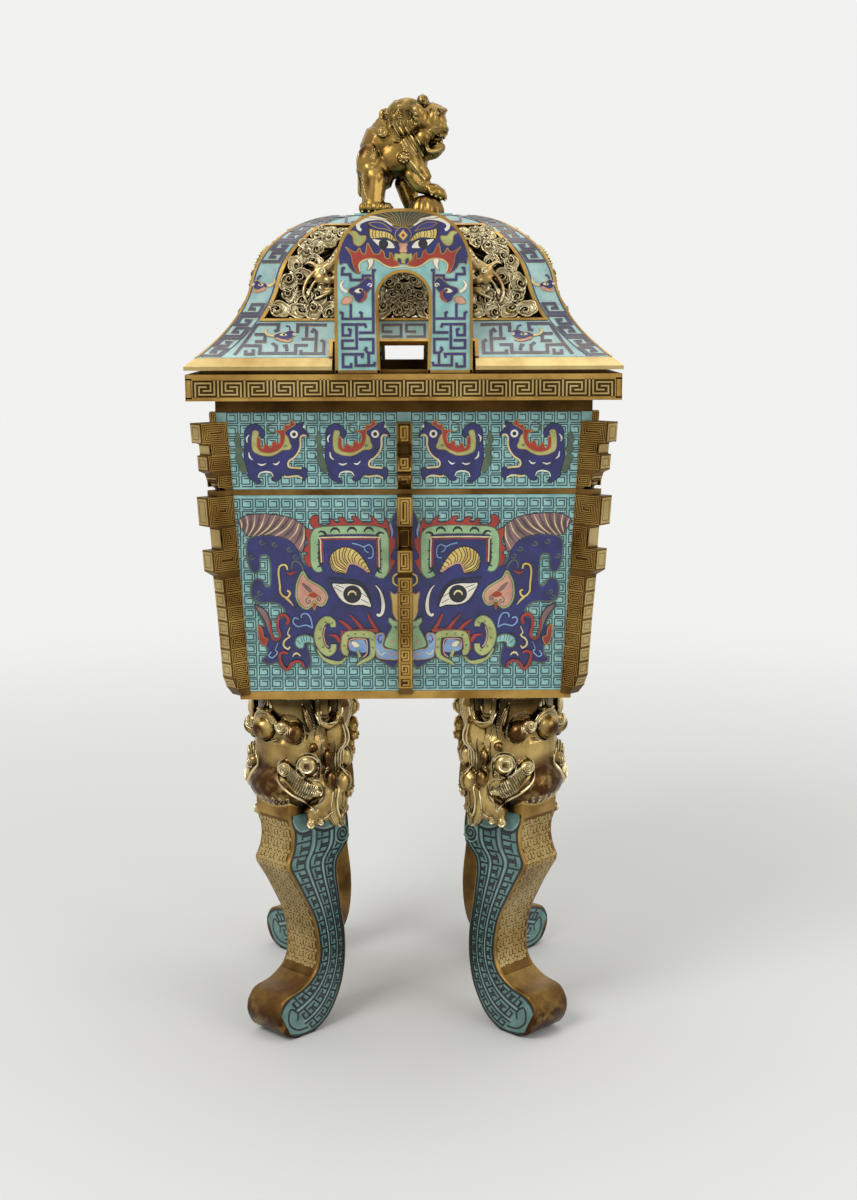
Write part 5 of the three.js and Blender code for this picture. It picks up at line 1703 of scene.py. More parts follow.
def openwork_mesh():
    casting = Casting()
    for side in (-1, 1):
        for stem in STEMS:
            casting.arm([(x * side, s, 0.2) for x, s in stem], 2.5, 5)
        dragon(casting, side)
    casting.lump((0, JEWEL_S, 5), (8, 8, 6))
    for turn in range(5):
        angle = math.radians(90 + 72 * turn)
        tip = (JEWEL_REACH * math.cos(angle), JEWEL_S + JEWEL_REACH * math.sin(angle), 1)
        root = (6 * math.cos(angle - 0.7), JEWEL_S + 6 * math.sin(angle - 0.7), 2)
        casting.arm([root, ((root[0] + tip[0]) * 0.6, (root[1] + tip[1]) / 2 + 1, 3), tip], (2.4, 2.0, 0.7))
    skin = Skin(casting.fused(1.0, 3), flat_look)
    for side in (-1, 1):
        dragon_hair(skin, side)
    skin.curl((0, JEWEL_S), 6.0, 2.0, 0, 1.3)
    relief = skin.finished("openwork_casting", OPENWORK_GILT)
    relief.transform(Matrix.Scale(1 / MM, 4))
    bent(relief)
    clouds = bent(clouds_in_flat())
    clouds.polygons.foreach_set("use_smooth", [True] * len(clouds.polygons))
    both = bmesh.new()
    both.from_mesh(relief)
    both.from_mesh(clouds)
    bmesh.ops.recalc_face_normals(both, faces=both.faces)
    both.to_mesh(relief)
    both.free()
    bpy.data.meshes.remove(clouds)
    return relief


SIDE_TURNS = (("front", 0), ("right", 90), ("back", 180), ("left", 270))
turned_pieces(openwork_mesh(), "openwork_casting", SIDE_TURNS, "lid", "openwork_panel")

# %% [markdown]
# Notched flanges run up the corners and the middles of the walls. Their sides carry gilt square spirals on a
# dark ground, block by block, and so do the narrow outer faces of the middle ones; the outer faces of the
# corner ones are plain plates of paler gilt, a painted sheen. An outer face is found by looking at the
# frame's flange from outside, so what lies on it follows its steps.

# %% Square spirals on the flanges
CORNER_THICK, CENTRE_THICK = 15.0, 13.0
SPIRAL_PROUD = 0.75
PLATE_INSET = 2.6
UPPER_BLOCKS = ((603.5, 621.2, 25.0), (592.0, 601.5, 15.5), (577.6, 590.8, 20.0), (561.5, 571.0, 11.0))
LOWER_BLOCKS = (
    ((526.0, 551.8, 25.0), (502.8, 522.0, 11.5), (482.4, 501.2, 24.0), (366.4, 376.2, 10.0))
    + tuple((378.0 + 13.8 * i, 391.0 + 13.8 * i, 13.0) for i in range(7))
)


def node_face(node, turn):
    """Places a drawing on the outer face of a flange that is turned to face the front."""
    mesh = nodes[node].data
    spin = quarter_turn(-turn)
    points = [spin @ v.co / MM for v in mesh.vertices]
    tree = BVHTree.FromPolygons(points, [tuple(p.vertices) for p in mesh.polygons])

    def surface(x, z, lift):
        found = tree.ray_cast(Vector((x, -400, z)), Vector((0, 1, 0)))[0]
        return (x, (found.y if found else -wall_half(z)) - lift, z)

    return surface


def spiral_block(sheet, x0, x1, z0, z1, gap, width):
    """A dark plate, filled by a square spiral line with a frame line round it."""
    frame = rectangle(x0, x1, z0, z1)
    sheet.tile(frame, GROOVE, 0.3)
    sheet.bar(frame, width, GILT, SPIRAL_PROUD, closed=True)
    left, right, low, top = x0 + gap, x1 - gap, z0 + gap, z1 - gap
    path = rectangle(left, right, low, top)
    low += gap
    while right - left > 1.2 * gap and top - low > 1.2 * gap:
        path.append((left, low))
        right -= gap
        path.append((right, low))
        top -= gap
        path.append((right, top))
        left += gap
        path.append((left, top))
        low += gap
    if min(x1 - x0, z1 - z0) > 4 * width:
        sheet.bar(path, width, GILT, SPIRAL_PROUD)


def edge_sheet(blocks, thick):
    """The outer face of a centre flange: broad gilt spirals with narrow grooves."""
    sheet = Sheet()
    half = thick / 2 - 1.0
    for low, top, _ in blocks:
        spiral_block(sheet, -half, half, low, top, 2.5, 1.7)
    return sheet


def bright_sheet(blocks, thick):
    """The outer face of a corner flange: plates of paler gilt, a painted sheen, with a fine engraved frame.
    """
    sheet = Sheet()
    half = thick / 2 - 0.6
    line = half - PLATE_INSET
    for low, top in ((low + 0.7, top - 0.7) for low, top, _ in blocks):
        sheet.tile(rectangle(-half, half, low, top), SHEEN_GILT, 0.5)
        frame = rectangle(-line, line, low + PLATE_INSET, top - PLATE_INSET)
        sheet.bar(frame, 0.5, ENGRAVED, 0.56, closed=True)
    return sheet


def side_sheet(blocks, hand, root):
    """Spirals on a flange's side, drawn with the distance out from the wall and the height."""
    sheet = Sheet(lambda u, v: (hand * u, v))
    for low, top, proud in blocks:
        spiral_block(sheet, root, proud - 1.2, low, top, 1.9, 0.95)
    return sheet


def flange_side(thick, reach, hand):
    def surface(u, z, lift):
        return (hand * (thick / 2 + lift), -(reach(z) + hand * u), z)

    return surface


def corner_reach(z):
    return wall_half(z) * math.sqrt(2)


def flange_sets():
    sets = []
    for level, blocks in (("upper", UPPER_BLOCKS), ("lower", LOWER_BLOCKS)):
        for place, turns, thick, reach, root, edge in (
            ("front", (0, 1, 2, 3), CENTRE_THICK, wall_half, 1.0, edge_sheet),
            ("front_right", (0.5, 1.5, 2.5, 3.5), CORNER_THICK, corner_reach, -6.0, bright_sheet),
        ):
            face = node_face(level + "_flange_" + place, turns[0])
            sets.append((edge(blocks, thick), face, turns))
            for hand in (-1, 1):
                sets.append((side_sheet(blocks, hand, root), flange_side(thick, reach, hand), turns))
    return sets


lay("flange_spirals", "vessel", flange_sets())

# %% [markdown]
# Each leg leaves the vessel through a cast beast's head with its nose on top: the smooth forehead lies
# lowest on the diagonal, then come combed brows, ringed eyes, a nose with round nostrils, and jowls. The
# frame's head is the wax core, and the smaller lumps and the chasing are added. A place on the head is a
# distance round it at 50 mm from its axis and a height.

# %% The beast's head
HEAD_ROUND = 50.0
STUD_RADIUS = 150.0
LOOK_FROM = 120.0


def head_look(u, z):
    turn = u / HEAD_ROUND
    out = Vector((math.cos(turn), math.sin(turn), 0))
    return Vector((0, 0, z)) + out * LOOK_FROM, -out


def mirrored_look(u, z):
    return head_look(-u, z)


def head_core():
    """A copy of the frame's head, moved so that its axis is upright at the origin and it looks along +X."""
    middle = Vector((STUD_RADIUS * math.sqrt(0.5), -STUD_RADIUS * math.sqrt(0.5), 0)) * MM
    node = nodes["leg_mask_front_right"]
    copy = node.data.copy()
    copy.transform(node.matrix_world)
    copy.transform(Matrix.Rotation(math.radians(45), 4, "Z") @ Matrix.Translation(-middle))
    return copy


def on_head(u, z, out):
    turn = u / HEAD_ROUND
    return (out * math.cos(turn), out * math.sin(turn), z)


def head_form():
    """The lumps: nose and nostrils, eyes, combed brows, the creases of the cheek and locks of the mane."""
    casting = Casting(head_core())
    casting.lump((9, 0, 262), (45.5, 46, 29))
    casting.lump(on_head(0, 320, 47), (11.5, 12.5, 12.5))
    arc = [(math.cos(a), math.sin(a)) for a in (math.radians(8 + 164 * i / 10) for i in range(11))]
    for radius in (12.5, 15.0, 17.5):
        out = 51.5 - 0.25 * radius
        casting.arm([on_head(radius * a, 319.5 + radius * b, out) for a, b in arc], 1.9, 2)
    for side in (-1, 1):
        for u, z, radii, out in (
            (24, 323.7, (6.5, 7, 7), 47.5),
            (35, 317, (10.5, 10.5, 10.8), 46),
            (55.5, 303, (4.8, 4.8, 4.8), 49.5),
            (71, 290, (4.5, 4.5, 8.5), 49.5),
            (75.5, 268, (6, 6, 9), 49),
            (49.5, 285, (11, 12.5, 12.5), 43.5),
            (104, 250, (6, 6.5, 7), 48),
            (94, 309, (9, 9, 13), 46),
            (108, 285, (8, 8, 11), 46),
            (52.5, 225, (5.2, 5.2, 5.6), 45),
            (63, 226.5, (4.8, 4.8, 5.4), 45),
        ):
            casting.lump(on_head(u * side, z, out), radii)
        lock = [(82, 256), (78, 246), (78, 234), (82, 225), (88, 222), (93, 227), (93, 234)]
        for path, radii, out in (
            ([(26, 282), (33, 276), (42, 267), (51, 260), (58, 257)], (7.0, 8.0, 5.5), 47),
            (lock, (4.0, 6.5, 3.0), 47),
            ([(70, 262), (67, 250), (66, 238), (71, 230)], (4.0, 6.0, 4.5), 45),
            ([(100, 262), (98, 248), (100, 236), (107, 231)], (4.0, 6.0, 4.5), 45),
            ([(48, 340), (51, 330), (53, 320)], (2.5, 4.0, 2.0), 48),
            ([(60, 350), (62, 330), (74, 322), (86, 330), (88, 350)], (3.0, 3.6, 3.0), 49),
        ):
            casting.arm([on_head(u * side, z, out) for u, z in path], radii)
    return casting.fused(1.3, 4)


CHASED = 0.75  # height of the head's chased lines, as a share of their width
HEAD_LINES = (
    ([(13, 325), (15, 317), (20, 314.5), (26, 316), (31, 321)], (2.2, 2.6, 1.4)),
    ([(17, 331), (22, 334), (30, 334.5), (38, 332), (44, 326), (47, 317), (45, 308)], (2.0, 2.4, 1.4)),
    ([(-7, 307), (0, 305.6), (7, 306.6), (14, 309)], (1.4, 1.8, 1.0)),
    ([(45, 346), (48, 338), (51.5, 328), (52, 318), (50, 310)], (2.0, 4.2, 1.6)),
    ([(62, 334), (61.5, 324), (60, 314), (58, 309)], (1.2, 2.2, 1.0)),
    ([(56, 345), (58, 336), (62, 326), (66, 318), (70, 308)], (1.2, 2.0, 1.0)),
    ([(62, 290), (63.5, 280), (62, 271), (55, 270.5), (48, 272)], (1.4, 2.2, 1.2)),
    ([(59, 284), (60, 277), (55, 274)], (1.2, 1.6, 1.0)),
    ([(33, 289), (40, 283.5), (47, 274.5), (54, 269), (61, 267), (66, 262), (66, 255), (62, 250)], 1.6),
    ([(68, 262), (66, 251), (60, 243), (56, 236)], (1.4, 2.2, 1.6)),
    ([(57, 232), (63, 229.5), (70, 232), (75, 236)], (1.6, 2.2, 1.4)),
    ([(85, 258), (82, 247), (81.5, 236), (85, 228), (90, 226)], (1.2, 2.0, 1.2)),
    ([(76, 256), (73.5, 246), (73.5, 234), (78, 224), (86, 218.5), (94, 222)], (1.2, 2.2, 1.4)),
    ([(66, 312), (66, 300), (65, 290)], (1.0, 1.8, 1.0)),
    ([(78, 309), (82, 298), (84, 284), (85, 272)], (1.2, 2.0, 1.2)),
)
HEAD_CURLS = (  # middle, radius, turns, start and width
    ((24, 323.7), 6.6, 2.2, 200, 1.5), ((60.5, 257), 4.8, 1.4, 20, 1.9), ((52.5, 225), 4.6, 1.3, 90, 1.6),
    ((63, 226.5), 4.2, 1.2, 60, 1.5), ((93, 232), 4.8, 1.4, 250, 1.6), ((104, 250), 6.0, 1.4, 180, 1.8),
)
HEAD_RINGS = (  # middle, radii, width, squash, first and last angle
    ((0, 319.5), (13.2, 15.6, 18.0), 1.3, 1.0, 8, 90), ((35, 317), (12.2,), 1.5, 1.0, -80, 60),
    ((49.3, 284.5), (12.6, 10.4), 1.4, 0.98, 20, 250), ((47.5, 285.3), (6.0,), 2.2, 1.0, 0, 360),
    ((26.3, 281.5), (1.8, 3.9, 6.0), 1.3, 1.0, 0, 360), ((74, 340), (15.0, 11.6, 8.0), 1.5, 1.0, 185, 355),
)


def head_side(skin):
    """The chasing of one side of the head."""
    for path, width in HEAD_LINES:
        skin.line(path, width, 4, CHASED)
    for curl in HEAD_CURLS:
        skin.curl(*curl, 0, CHASED)
    for rings in HEAD_RINGS:
        skin.rings(*rings, CHASED)
    for u in (28.5, 30.5, 32.5):
        skin.line([(u, 326), (u + 0.6, 322), (u + 0.4, 318)], (0.7, 1.0, 0.6))
    for i in range(6):
        skin.bead((57.5 + 0.25 * i, 334 - 3.2 * i), 1.2)
    skin.strand([(44.6, 288.4), (44.6, 282.6), (50.2, 282.6), (50.2, 288.4), (44.6, 288.4)], 1.1, CHASED)
    hair_top = [(33, 284), (38, 279.5), (45, 272), (52, 266.5), (60, 263.5)]
    hair_low = [(29, 271.5), (33, 265.5), (39, 259), (46, 253), (52, 250.5)]
    skin.comb(hair_top, hair_low, 17, 1.25, 0.8)
    brow_edge = [(26, 292), (19, 287), (17.5, 279), (21, 269), (28, 261.5), (35, 255.5), (43, 250)]
    skin.line(brow_edge + [(51, 244), (56, 239.5)], (2.6, 4.0, 2.6), 4, 0.55)
    for u, z, wide, tall in ((71, 290, 6.2, 11.0), (75.5, 268, 7.6, 11.5)):
        ring = [(u - 2, z + tall), (u - wide, z), (u, z - tall), (u + wide, z), (u + 2, z + tall)]
        skin.line(ring, (1.2, 1.8, 1.2), 4, CHASED)
    for u in range(88, 108, 5):
        skin.line([(u, 322), (u + 3, 305), (u, 288), (u + 4, 268)], (1.0, 2.0, 1.0), 4, CHASED)
    skin.strand([(u, 350.4) for u in range(0, 128, 4)], 3.0)
    for start in (112, 124, 136):
        skin.line([(start, 330), (start + 4, 305), (start - 3, 280), (start + 3, 256), (start - 2, 236)], 2.0)
        skin.curl((start - 5, 234), 4.5, 1.2, 0, 1.5)


def head_middle(skin):
    """What lies on the diagonal: a leaf over the nose, and the forehead's bridge and engraved edge."""
    for side in (-1, 1):
        skin.line([(6 * side, 337), (4 * side, 344), (0, 350)], (3.0, 2.0, 1.0), 4, 0.8)
    skin.line([(0, 336), (0, 348)], (2.0, 2.8, 1.0), 4, 0.7)
    skin.strand([(u, 235.5 + 0.0004 * u * u) for u in range(-51, 52, 3)], 2.2)
    for u in range(-24, 25, 8):
        skin.curl((u, 244), 3.0, 1.4, 90, 0.8)
        skin.curl((u + 4, 250), 2.4, 1.2, 270, 0.7)


RUBBED_SPOTS = (
    (0, 260, 52, 36), (34, 246, 28, 14), (0, 317, 11, 13), (36, 315, 10, 11), (47.5, 285.5, 4, 4),
    (55.5, 302, 5, 5), (71, 289, 5, 9), (75.5, 267, 6, 10),
)


def spot_share(u, z, spots):
    """How far inside the nearest of some oval spots a place is, from 0 at the edge to 1 in the middle."""
    return max(0.0, *(1 - ((u - a) / wide) ** 2 - ((z - b) / tall) ** 2 for a, b, wide, tall in spots))


def wear_and_shade_of_head(point):
    """The forehead and the round lumps are worn; below 0 lie a painted shadow under the vessel and a darker
    band over the combed brows.
    """
    u, z = abs(math.atan2(point.y, point.x)) * HEAD_ROUND, point.z
    in_hair = abs((u - 41) * 0.68 + (z - 267) * 0.73)
    along = abs((u - 41) * 0.73 - (z - 267) * 0.68)
    # Painted shadow under the vessel's floor from 330 mm up, and a darker band along the combed brows.
    painted_dark = max(min((z - 330) / 16, 0.85), min((8 - in_hair) / 2.5, 0.8) if along < 17 else 0.0)
    return -painted_dark if painted_dark > 0 else spot_share(u, z, RUBBED_SPOTS)


def beast_head():
    skin = Skin(head_form(), head_look)
    head_middle(skin)
    for skin.look in (head_look, mirrored_look):
        head_side(skin)
    made = skin.finished("beast_head", MASK_GILT, wear_and_shade_of_head)
    made.transform(Matrix.Translation((STUD_RADIUS * MM, 0, 0)))
    return made


turned_pieces(beast_head(), "beast_head", CORNERS, "vessel", "leg_mask")

# %% [markdown]
# The lion on the lid sits in profile with one forepaw on a fluted ball. Its core is the frame's plain lion,
# with muscles, toes, lips and a cap of hair added in wax, and then mane curls, collar, bell and claws laid
# on the skin. Its places are distances forward of the middle of the lid and heights above the plinth,
# looked at from the front and, for what both sides share, from the back as well.

# %% The lion
LION_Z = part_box("finial_lion")[0].z / MM


def lion_core():
    copy = nodes["finial_lion"].data.copy()
    copy.transform(Matrix.Translation((0, 0, -LION_Z * MM)))
    return copy


def lion_look(x, z):
    return Vector((x, -80, z)), Vector((0, 1, 0))


def lion_look_from_back(x, z):
    return Vector((x, 80, z)), Vector((0, -1, 0))


def lion_form():
    """The lumps: muscles, toes, cheeks, muzzle, lips and teeth, the knot, the bell and the raised paw."""
    casting = Casting(lion_core())
    for y in (-1, 1):
        casting.lump((-35, 15 * y, 53), (12, 11, 17), 12)  # thigh
        casting.arm([(-34, 19 * y, 44), (-35, 20 * y, 28), (-34, 19 * y, 13)], (8, 5.5, 6.5))
        casting.arm([(-24, 20 * y, 40), (-25, 20 * y, 26), (-25, 20 * y, 13)], (6, 4.5, 5.5))
        for i in range(5):
            casting.lump((-41 + 6.6 * i, (26.0 - 0.55 * (i - 2) ** 2) * y, 5.4), (3.8, 4.8, 5.4))
        casting.lump((19, 15 * y, 93), (7.5, 7.5, 11), 6)  # cheek
        casting.lump((30, 12.5 * y, 93), (6.0, 7.0, 11.5), 8)
        casting.lump((20, 15 * y, 75), (8, 6, 8), 20)
        casting.lump((39.5, 6.5 * y, 86), (5.5, 6, 5.5))  # muzzle
        casting.lump((38, 8.5 * y, 101), (6, 4.5, 3.6), -15)  # brow tuft
        casting.lump((3, 11 * y, 104), (15, 9, 10), -8)  # cap of hair
        casting.arm([(43, 4 * y, 80.5), (38, 9 * y, 83), (30, 12 * y, 83)], (2.6, 2.8, 2.4), 3)  # upper lip
        lower_lip = [(40, 3 * y, 67.5), (34, 9 * y, 63), (26, 12 * y, 62), (23, 13 * y, 69)]
        casting.arm(lower_lip, (2.8, 3.0, 2.6), 3)
        for x, z, size in ((41.5, 77, 1.8), (37.5, 77.5, 1.8), (38.5, 71, 1.7), (34.5, 69, 1.6)):
            casting.lump((x, (5.5 + 0.5 * (41 - x)) * y, z), (size, size, 2.6))  # teeth
        casting.lump((8, 18 * y, 52), (9, 7, 16), -20)  # shoulder
        casting.lump((-8, 17 * y, 55), (15, 6, 15), -30)  # flank
    casting.lump((43, 0, 84), (3.6, 5.5, 4.0))  # nose
    casting.lump((33, 0, 74), (8, 6, 4.5), 10)  # tongue
    casting.arm([(24, 0, 60), (32, 0, 61), (39, 0, 66)], (7, 6, 4.0))  # chin
    casting.lump((-20, -21, 79.5), (5.6, 5, 5.6))  # knot of the collar
    casting.lump((0.5, -23, 54), (6.2, 6, 6.2))  # bell
    casting.arm([(8, -15, 38), (14, -14, 30), (20, -13, 26.5), (28, -13, 23.5)], (8, 8, 6), 3)
    casting.arm([(0, 14, 32), (5, 14, 18), (9, 14, 7)], (9, 8.5, 7.0), 3)
    casting.lump((12, 0, 50), (13, 15, 14), 10)  # chest
    for i in range(4):
        knuckle = (26 + 4.6 * i, -19 + 2.6 * i, 25.5 - 1.4 * i)
        claw = (28.5 + 4.4 * i, -21.5 + 3.0 * i, 20.5 - 1.6 * i)
        casting.arm([knuckle, claw], (3.2, 3.4, 2.8), 2)
    for i in range(7):
        casting.lump((-34 + 3.0 * i, 0, 81 + 3.6 * i), (2.7, 3.0, 3.0))  # crest of the back
    casting.arm([(-20, 0, 94), (-21, 0, 101), (-18.5, 0, 104)], (4, 3, 1.0))
    for i in range(5):
        for y in (-1, 1):
            casting.lump((8 + 4.2 * i, 20 * y, 2.5), (3, 3.4, 3))
    return casting.fused(1.0, 3)


def lion_side(skin):
    """Hair, mane curls, brow, eye, lips, collar, strands and claws of one side."""
    for i in range(22):
        lean = i / 21
        top = (6 - 14 * (1 - lean) ** 1.5 + 9 * lean, 113.5 - 4.0 * (1 - lean) ** 2 - 2.0 * lean)
        low = (-20 + 33 * lean, 97.5 + 3.0 * math.sin(math.pi * lean))
        bend = ((top[0] + low[0]) / 2 - 1.2 * (1 - lean), (top[1] + low[1]) / 2 + 1.6)
        skin.line([top, bend, low], (0.7, 1.1, 0.7), 3, 0.55)
    for row, (count, shift) in enumerate(((6, 0.0), (6, 1.2))):
        for i in range(count):
            place = (-18.5 + 5.6 * i + shift, 99.0 - 5.0 * row + 0.8 * math.sin(2 * i + row))
            skin.curl(place, 3.1, 1.5, 140 * i + 60 * row, 1.2, 0.4, 0.8)
    for i in range(9):
        x, z = -16.5 + 3.6 * i, 91.0 + 0.8 * math.sin(2 * i)
        skin.line([(x, z), (x - 0.8, z - 3.4), (x + 1.4, z - 6.0)], (2.4, 2.0, 0.5), 3, 0.5)
    for x, z, size in ((13, 97, 2.2), (12.5, 92, 2.2), (12.5, 87.5, 2.2)):
        skin.bead((x, z), size, 1.4)
        skin.curl((x, z), size + 0.3, 1.5, 30 * z, 1.1, 0.3, 0.8)
    skin.rings((35, 98), (3.0,), 1.2)
    skin.bead((35, 98), 1.9, 1.4)
    for k in range(4):
        skin.curl((31 + 3.8 * k, 103.4 - 0.7 * k), 2.3, 1.2, 200 - 60 * k, 1.0, 0.3, 0.8)
    skin.curl((41.5, 84), 2.2, 1.2, 90, 1.0, 0.3, 0.8)
    skin.line([(25, 81), (31, 84), (38, 85), (44, 81.5)], (1.0, 1.8, 1.0))
    skin.line([(22, 70), (25, 61.5), (33, 61.5), (40, 66)], (1.0, 2.0, 1.2))
    for x, z in ((26, 66), (29.5, 59.5), (34, 60)):
        skin.curl((x, z), 2.0, 1.2, 30 * x, 0.9, 0.3, 0.8)
    for step, width in ((0, 2.2), (5.0, 4.2), (11.0, 4.2), (15.8, 2.0)):
        skin.line([(-9 + step, 84.5), (-2 + step, 74), (3.6 + step, 64), (8 + step, 57)], width, 4, 0.5)
    for i in range(9):
        skin.bead((-9.4 + 1.9 * i, 78.5 - 2.6 * i), 1.15)
    for centre, size, start in (((-27, 62), 4.2, 120), ((-35, 57), 3.8, 300), ((-28, 53), 3.2, 40)):
        skin.curl(centre, size, 1.8, start, 0.8, 0.3)
    skin.line([(-44, 60), (-45.5, 46), (-44, 30), (-41, 16)], (1.0, 2.0, 1.0))
    for i in range(7):
        x, z = -44.5 + 0.9 * i, 42 - 3.6 * i
        skin.line([(x, z), (x + 2.2, z - 5), (x + 1.2, z - 9)], 1.2)
    for i in range(5):
        skin.bead((-41 + 6.6 * i, 1.8), 1.6, 2.2)
        skin.line([(-37.7 + 6.6 * i, 10), (-37.7 + 6.6 * i, 2)], 0.8)


def lion_near_side(skin):
    """What only the side seen from the front has: the knot, the bell, its strap and the claws on the ball."""
    skin.rings((-20, 79.5), (2.0, 4.4), 1.1)
    skin.line([(-30, 79), (-26, 77), (-14, 76.5)], 1.6)
    for turn in range(8):
        angle = math.tau * turn / 8
        skin.bead((0.5 + 4.2 * math.cos(angle), 54 + 4.2 * math.sin(angle)), 1.4)
    skin.bead((0.5, 54), 1.9)
    strap = [(6, 50.5), (11, 45), (16, 38.5), (21, 33)]
    skin.line(strap, 5.6, 4, 0.25)
    skin.line(strap, 1.4, 4, 1.4)
    for i in range(4):
        skin.bead((28.5 + 4.4 * i, 18.6 - 1.6 * i), 1.4, 1.8)
    skin.curl((17.5, 29), 2.8, 1.5, 60, 1.1)


def lion_crown(skin):
    """The curl on the crown, from both sides."""
    skin.rings((21, 112.5), (1.8, 4.0), 1.3, 1.0, 0, 360, 0.8)
    skin.bead((21, 112.5), 1.2)


BARE_SPOTS = (
    (-41, 62, 9, 11), (18, 84, 6, 5), (24, 74, 6, 6), (43, 82, 4, 4), (-12, 40, 16, 8), (-36, 30, 5, 16),
)


def rubbed_lion(point):
    return 0.7 * spot_share(point.x, point.z, BARE_SPOTS)


def lion_mesh():
    skin = Skin(lion_form(), lion_look)
    lion_near_side(skin)
    for skin.look in (lion_look, lion_look_from_back):
        lion_side(skin)
        lion_crown(skin)
    made = skin.finished("guardian_lion", FIGURE_GILT, rubbed_lion)
    made.transform(Matrix.Translation((0, 0, LION_Z * MM)))
    return made


piece(lion_mesh(), "lid", ("finial_lion",))

# %% The fluted ball
BALL_SEGMENTS, BALL_RINGS, FLUTES = 96, 12, 12
FLUTE_DEEP = 0.09  # as a share of the radius


def fluted_ball():
    low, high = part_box("finial_ball")
    middle = (low + high) / 2
    radius, tall = (high.x - low.x) / 2, high.z - low.z
    ball = bmesh.new()
    rings = []
    for k in range(BALL_RINGS + 1):
        rise = math.radians(90 * k / BALL_RINGS)
        ring = []
        for j in range(BALL_SEGMENTS):
            turn = math.tau * j / BALL_SEGMENTS
            flute = 1 - FLUTE_DEEP * math.cos(rise) * (1 - abs(math.sin(turn * FLUTES / 2)))
            out = radius * math.cos(rise) ** 0.8 * flute
            ring.append(ball.verts.new((out * math.cos(turn), out * math.sin(turn), tall * math.sin(rise))))
        rings.append(ring)
    add_rings(ball, rings)
    bmesh.ops.remove_doubles(ball, verts=ball.verts[:], dist=TINY)
    mesh = mesh_from("fluted_ball", ball)
    mesh.transform(Matrix.Translation((middle.x, middle.y, low.z)))
    mesh.materials.append(FIGURE_GILT)
    return shaded(mesh, CAST_SHARP)


piece(fluted_ball(), "lid", ("finial_ball",))

# %% [markdown]
# The legs are thick blades, bowed like an animal's, with a scroll foot. Their narrow faces are gilt, the
# shin engraved all over with small scrolls, and their broad sides are enamelled with three rows of hooks.
# The outline is drawn in the plane of the leg, out from the stud and up, and pairs of points across it
# guide the rows, so a row bends and narrows with the leg.

# %% The blade
LEG_HALF = 25.0
LEG_EDGE = 1.6  # rounding of the blade's edges
LEG_SHARP = 32  # degrees
WORN_FOOT = 75.0  # mm above the floor, where the gold starts to be rubbed off
FOOT_AND_SHIN = [
    (32, 0), (48, 8), (56, 27), (47, 45), (24, 51), (5, 65), (1, 90), (8, 122), (24, 152), (40, 177),
]
KNEE = [(41, 183), (34, 197), (33, 213), (38, 232)]
CALF_TOP = [(-38, 232), (-42, 212), (-41, 190), (-28, 179)]
CALF = [(-25, 164), (-31, 125), (-36, 92), (-35, 62), (-28, 36), (-12, 12), (8, 0)]
LEG_TURNS = (0.5, 1.5, 2.5, 3.5)


def leg_outline():
    top = [(38, 249.5), (-38, 249.5)]
    return smooth(FOOT_AND_SHIN, 7) + smooth(KNEE, 5) + top + smooth(CALF_TOP, 5) + smooth(CALF, 7)


def blade_mesh():
    blade = bmesh.new()
    outline = leg_outline()
    sides = (-LEG_HALF, LEG_HALF)
    add_rings(
        blade, [[blade.verts.new(Vector((STUD_RADIUS + d, y, z)) * MM) for d, z in outline] for y in sides]
    )
    bmesh.ops.recalc_face_normals(blade, faces=blade.faces)
    edges = {edge for face in blade.faces if len(face.verts) > 4 for edge in face.edges}
    rounding = {"offset": LEG_EDGE * MM, "segments": 3, "profile": 0.5, "affect": "EDGES"}
    bmesh.ops.bevel(blade, geom=list(edges), **rounding)
    mesh = mesh_from("leg_blade", blade)
    mesh.materials.append(LEG_GILT)
    wear = [max(0.0, 1 - v.co.z / (WORN_FOOT * MM)) for v in mesh.vertices]
    mesh.attributes.new("rubbed", "FLOAT", "POINT").data.foreach_set("value", wear)
    return shaded(mesh, LEG_SHARP)


# %% Rows that follow the bow
LEG_SPANS = (  # a point on the calf's line and the point across from it on the shin's line
    ((48, 8), (56, 27)), ((32, 1), (53, 38)), ((8, 1), (43, 46)), ((-12, 12), (30, 49.5)),
    ((-27, 34), (17, 54)), ((-34.5, 60), (6, 64)), ((-36, 80), (1, 79)), ((-35, 100), (2.5, 97)),
    ((-31, 122), (8, 119)), ((-28, 143), (19, 141)), ((-25.5, 162), (31, 163)), ((-28, 177), (40, 181)),
    ((-41, 192), (35, 196)), ((-42, 212), (33, 213)), ((-38, 232), (38, 232)),
)
SPAN_STEPS = 8
EDGE_LEFT = 3.2  # gilt left beside the enamel
ROWS_WIDE = 30.0


def span_table():
    """Points close together on the calf and across on the shin, and their distances along the leg."""
    fine = smooth([a + b for a, b in LEG_SPANS], SPAN_STEPS)
    calf, shin = [Vector(p[:2]) for p in fine], [Vector(p[2:]) for p in fine]
    return calf, shin, lengths([(a + b) / 2 for a, b in zip(calf, shin)])


CALF_LINE, SHIN_SIDE, LEG_ALONG = span_table()
print("a leg's rows are", round(LEG_ALONG[-1]), "mm long")


def in_leg(across, along):
    """Where a place in the rows lies: across from the calf (0) to the shin (ROWS_WIDE), up from the toe."""
    i, share = step_at(LEG_ALONG, along)
    calf, shin = (line[i].lerp(line[i + 1], share) for line in (CALF_LINE, SHIN_SIDE))
    wide = (shin - calf).length
    part = (EDGE_LEFT + (wide - 2 * EDGE_LEFT) * across / ROWS_WIDE) / wide
    spot = calf.lerp(shin, part)
    return spot.x, spot.y


def leg_place(points, turn, hand):
    """From the leg's plane to its corner of the vessel."""
    spin = Matrix.Rotation(math.radians(90 * turn - 90), 3, "Z")
    return [spin @ Vector((STUD_RADIUS + d, -hand * (LEG_HALF + lift), z)) for d, z, lift in points]


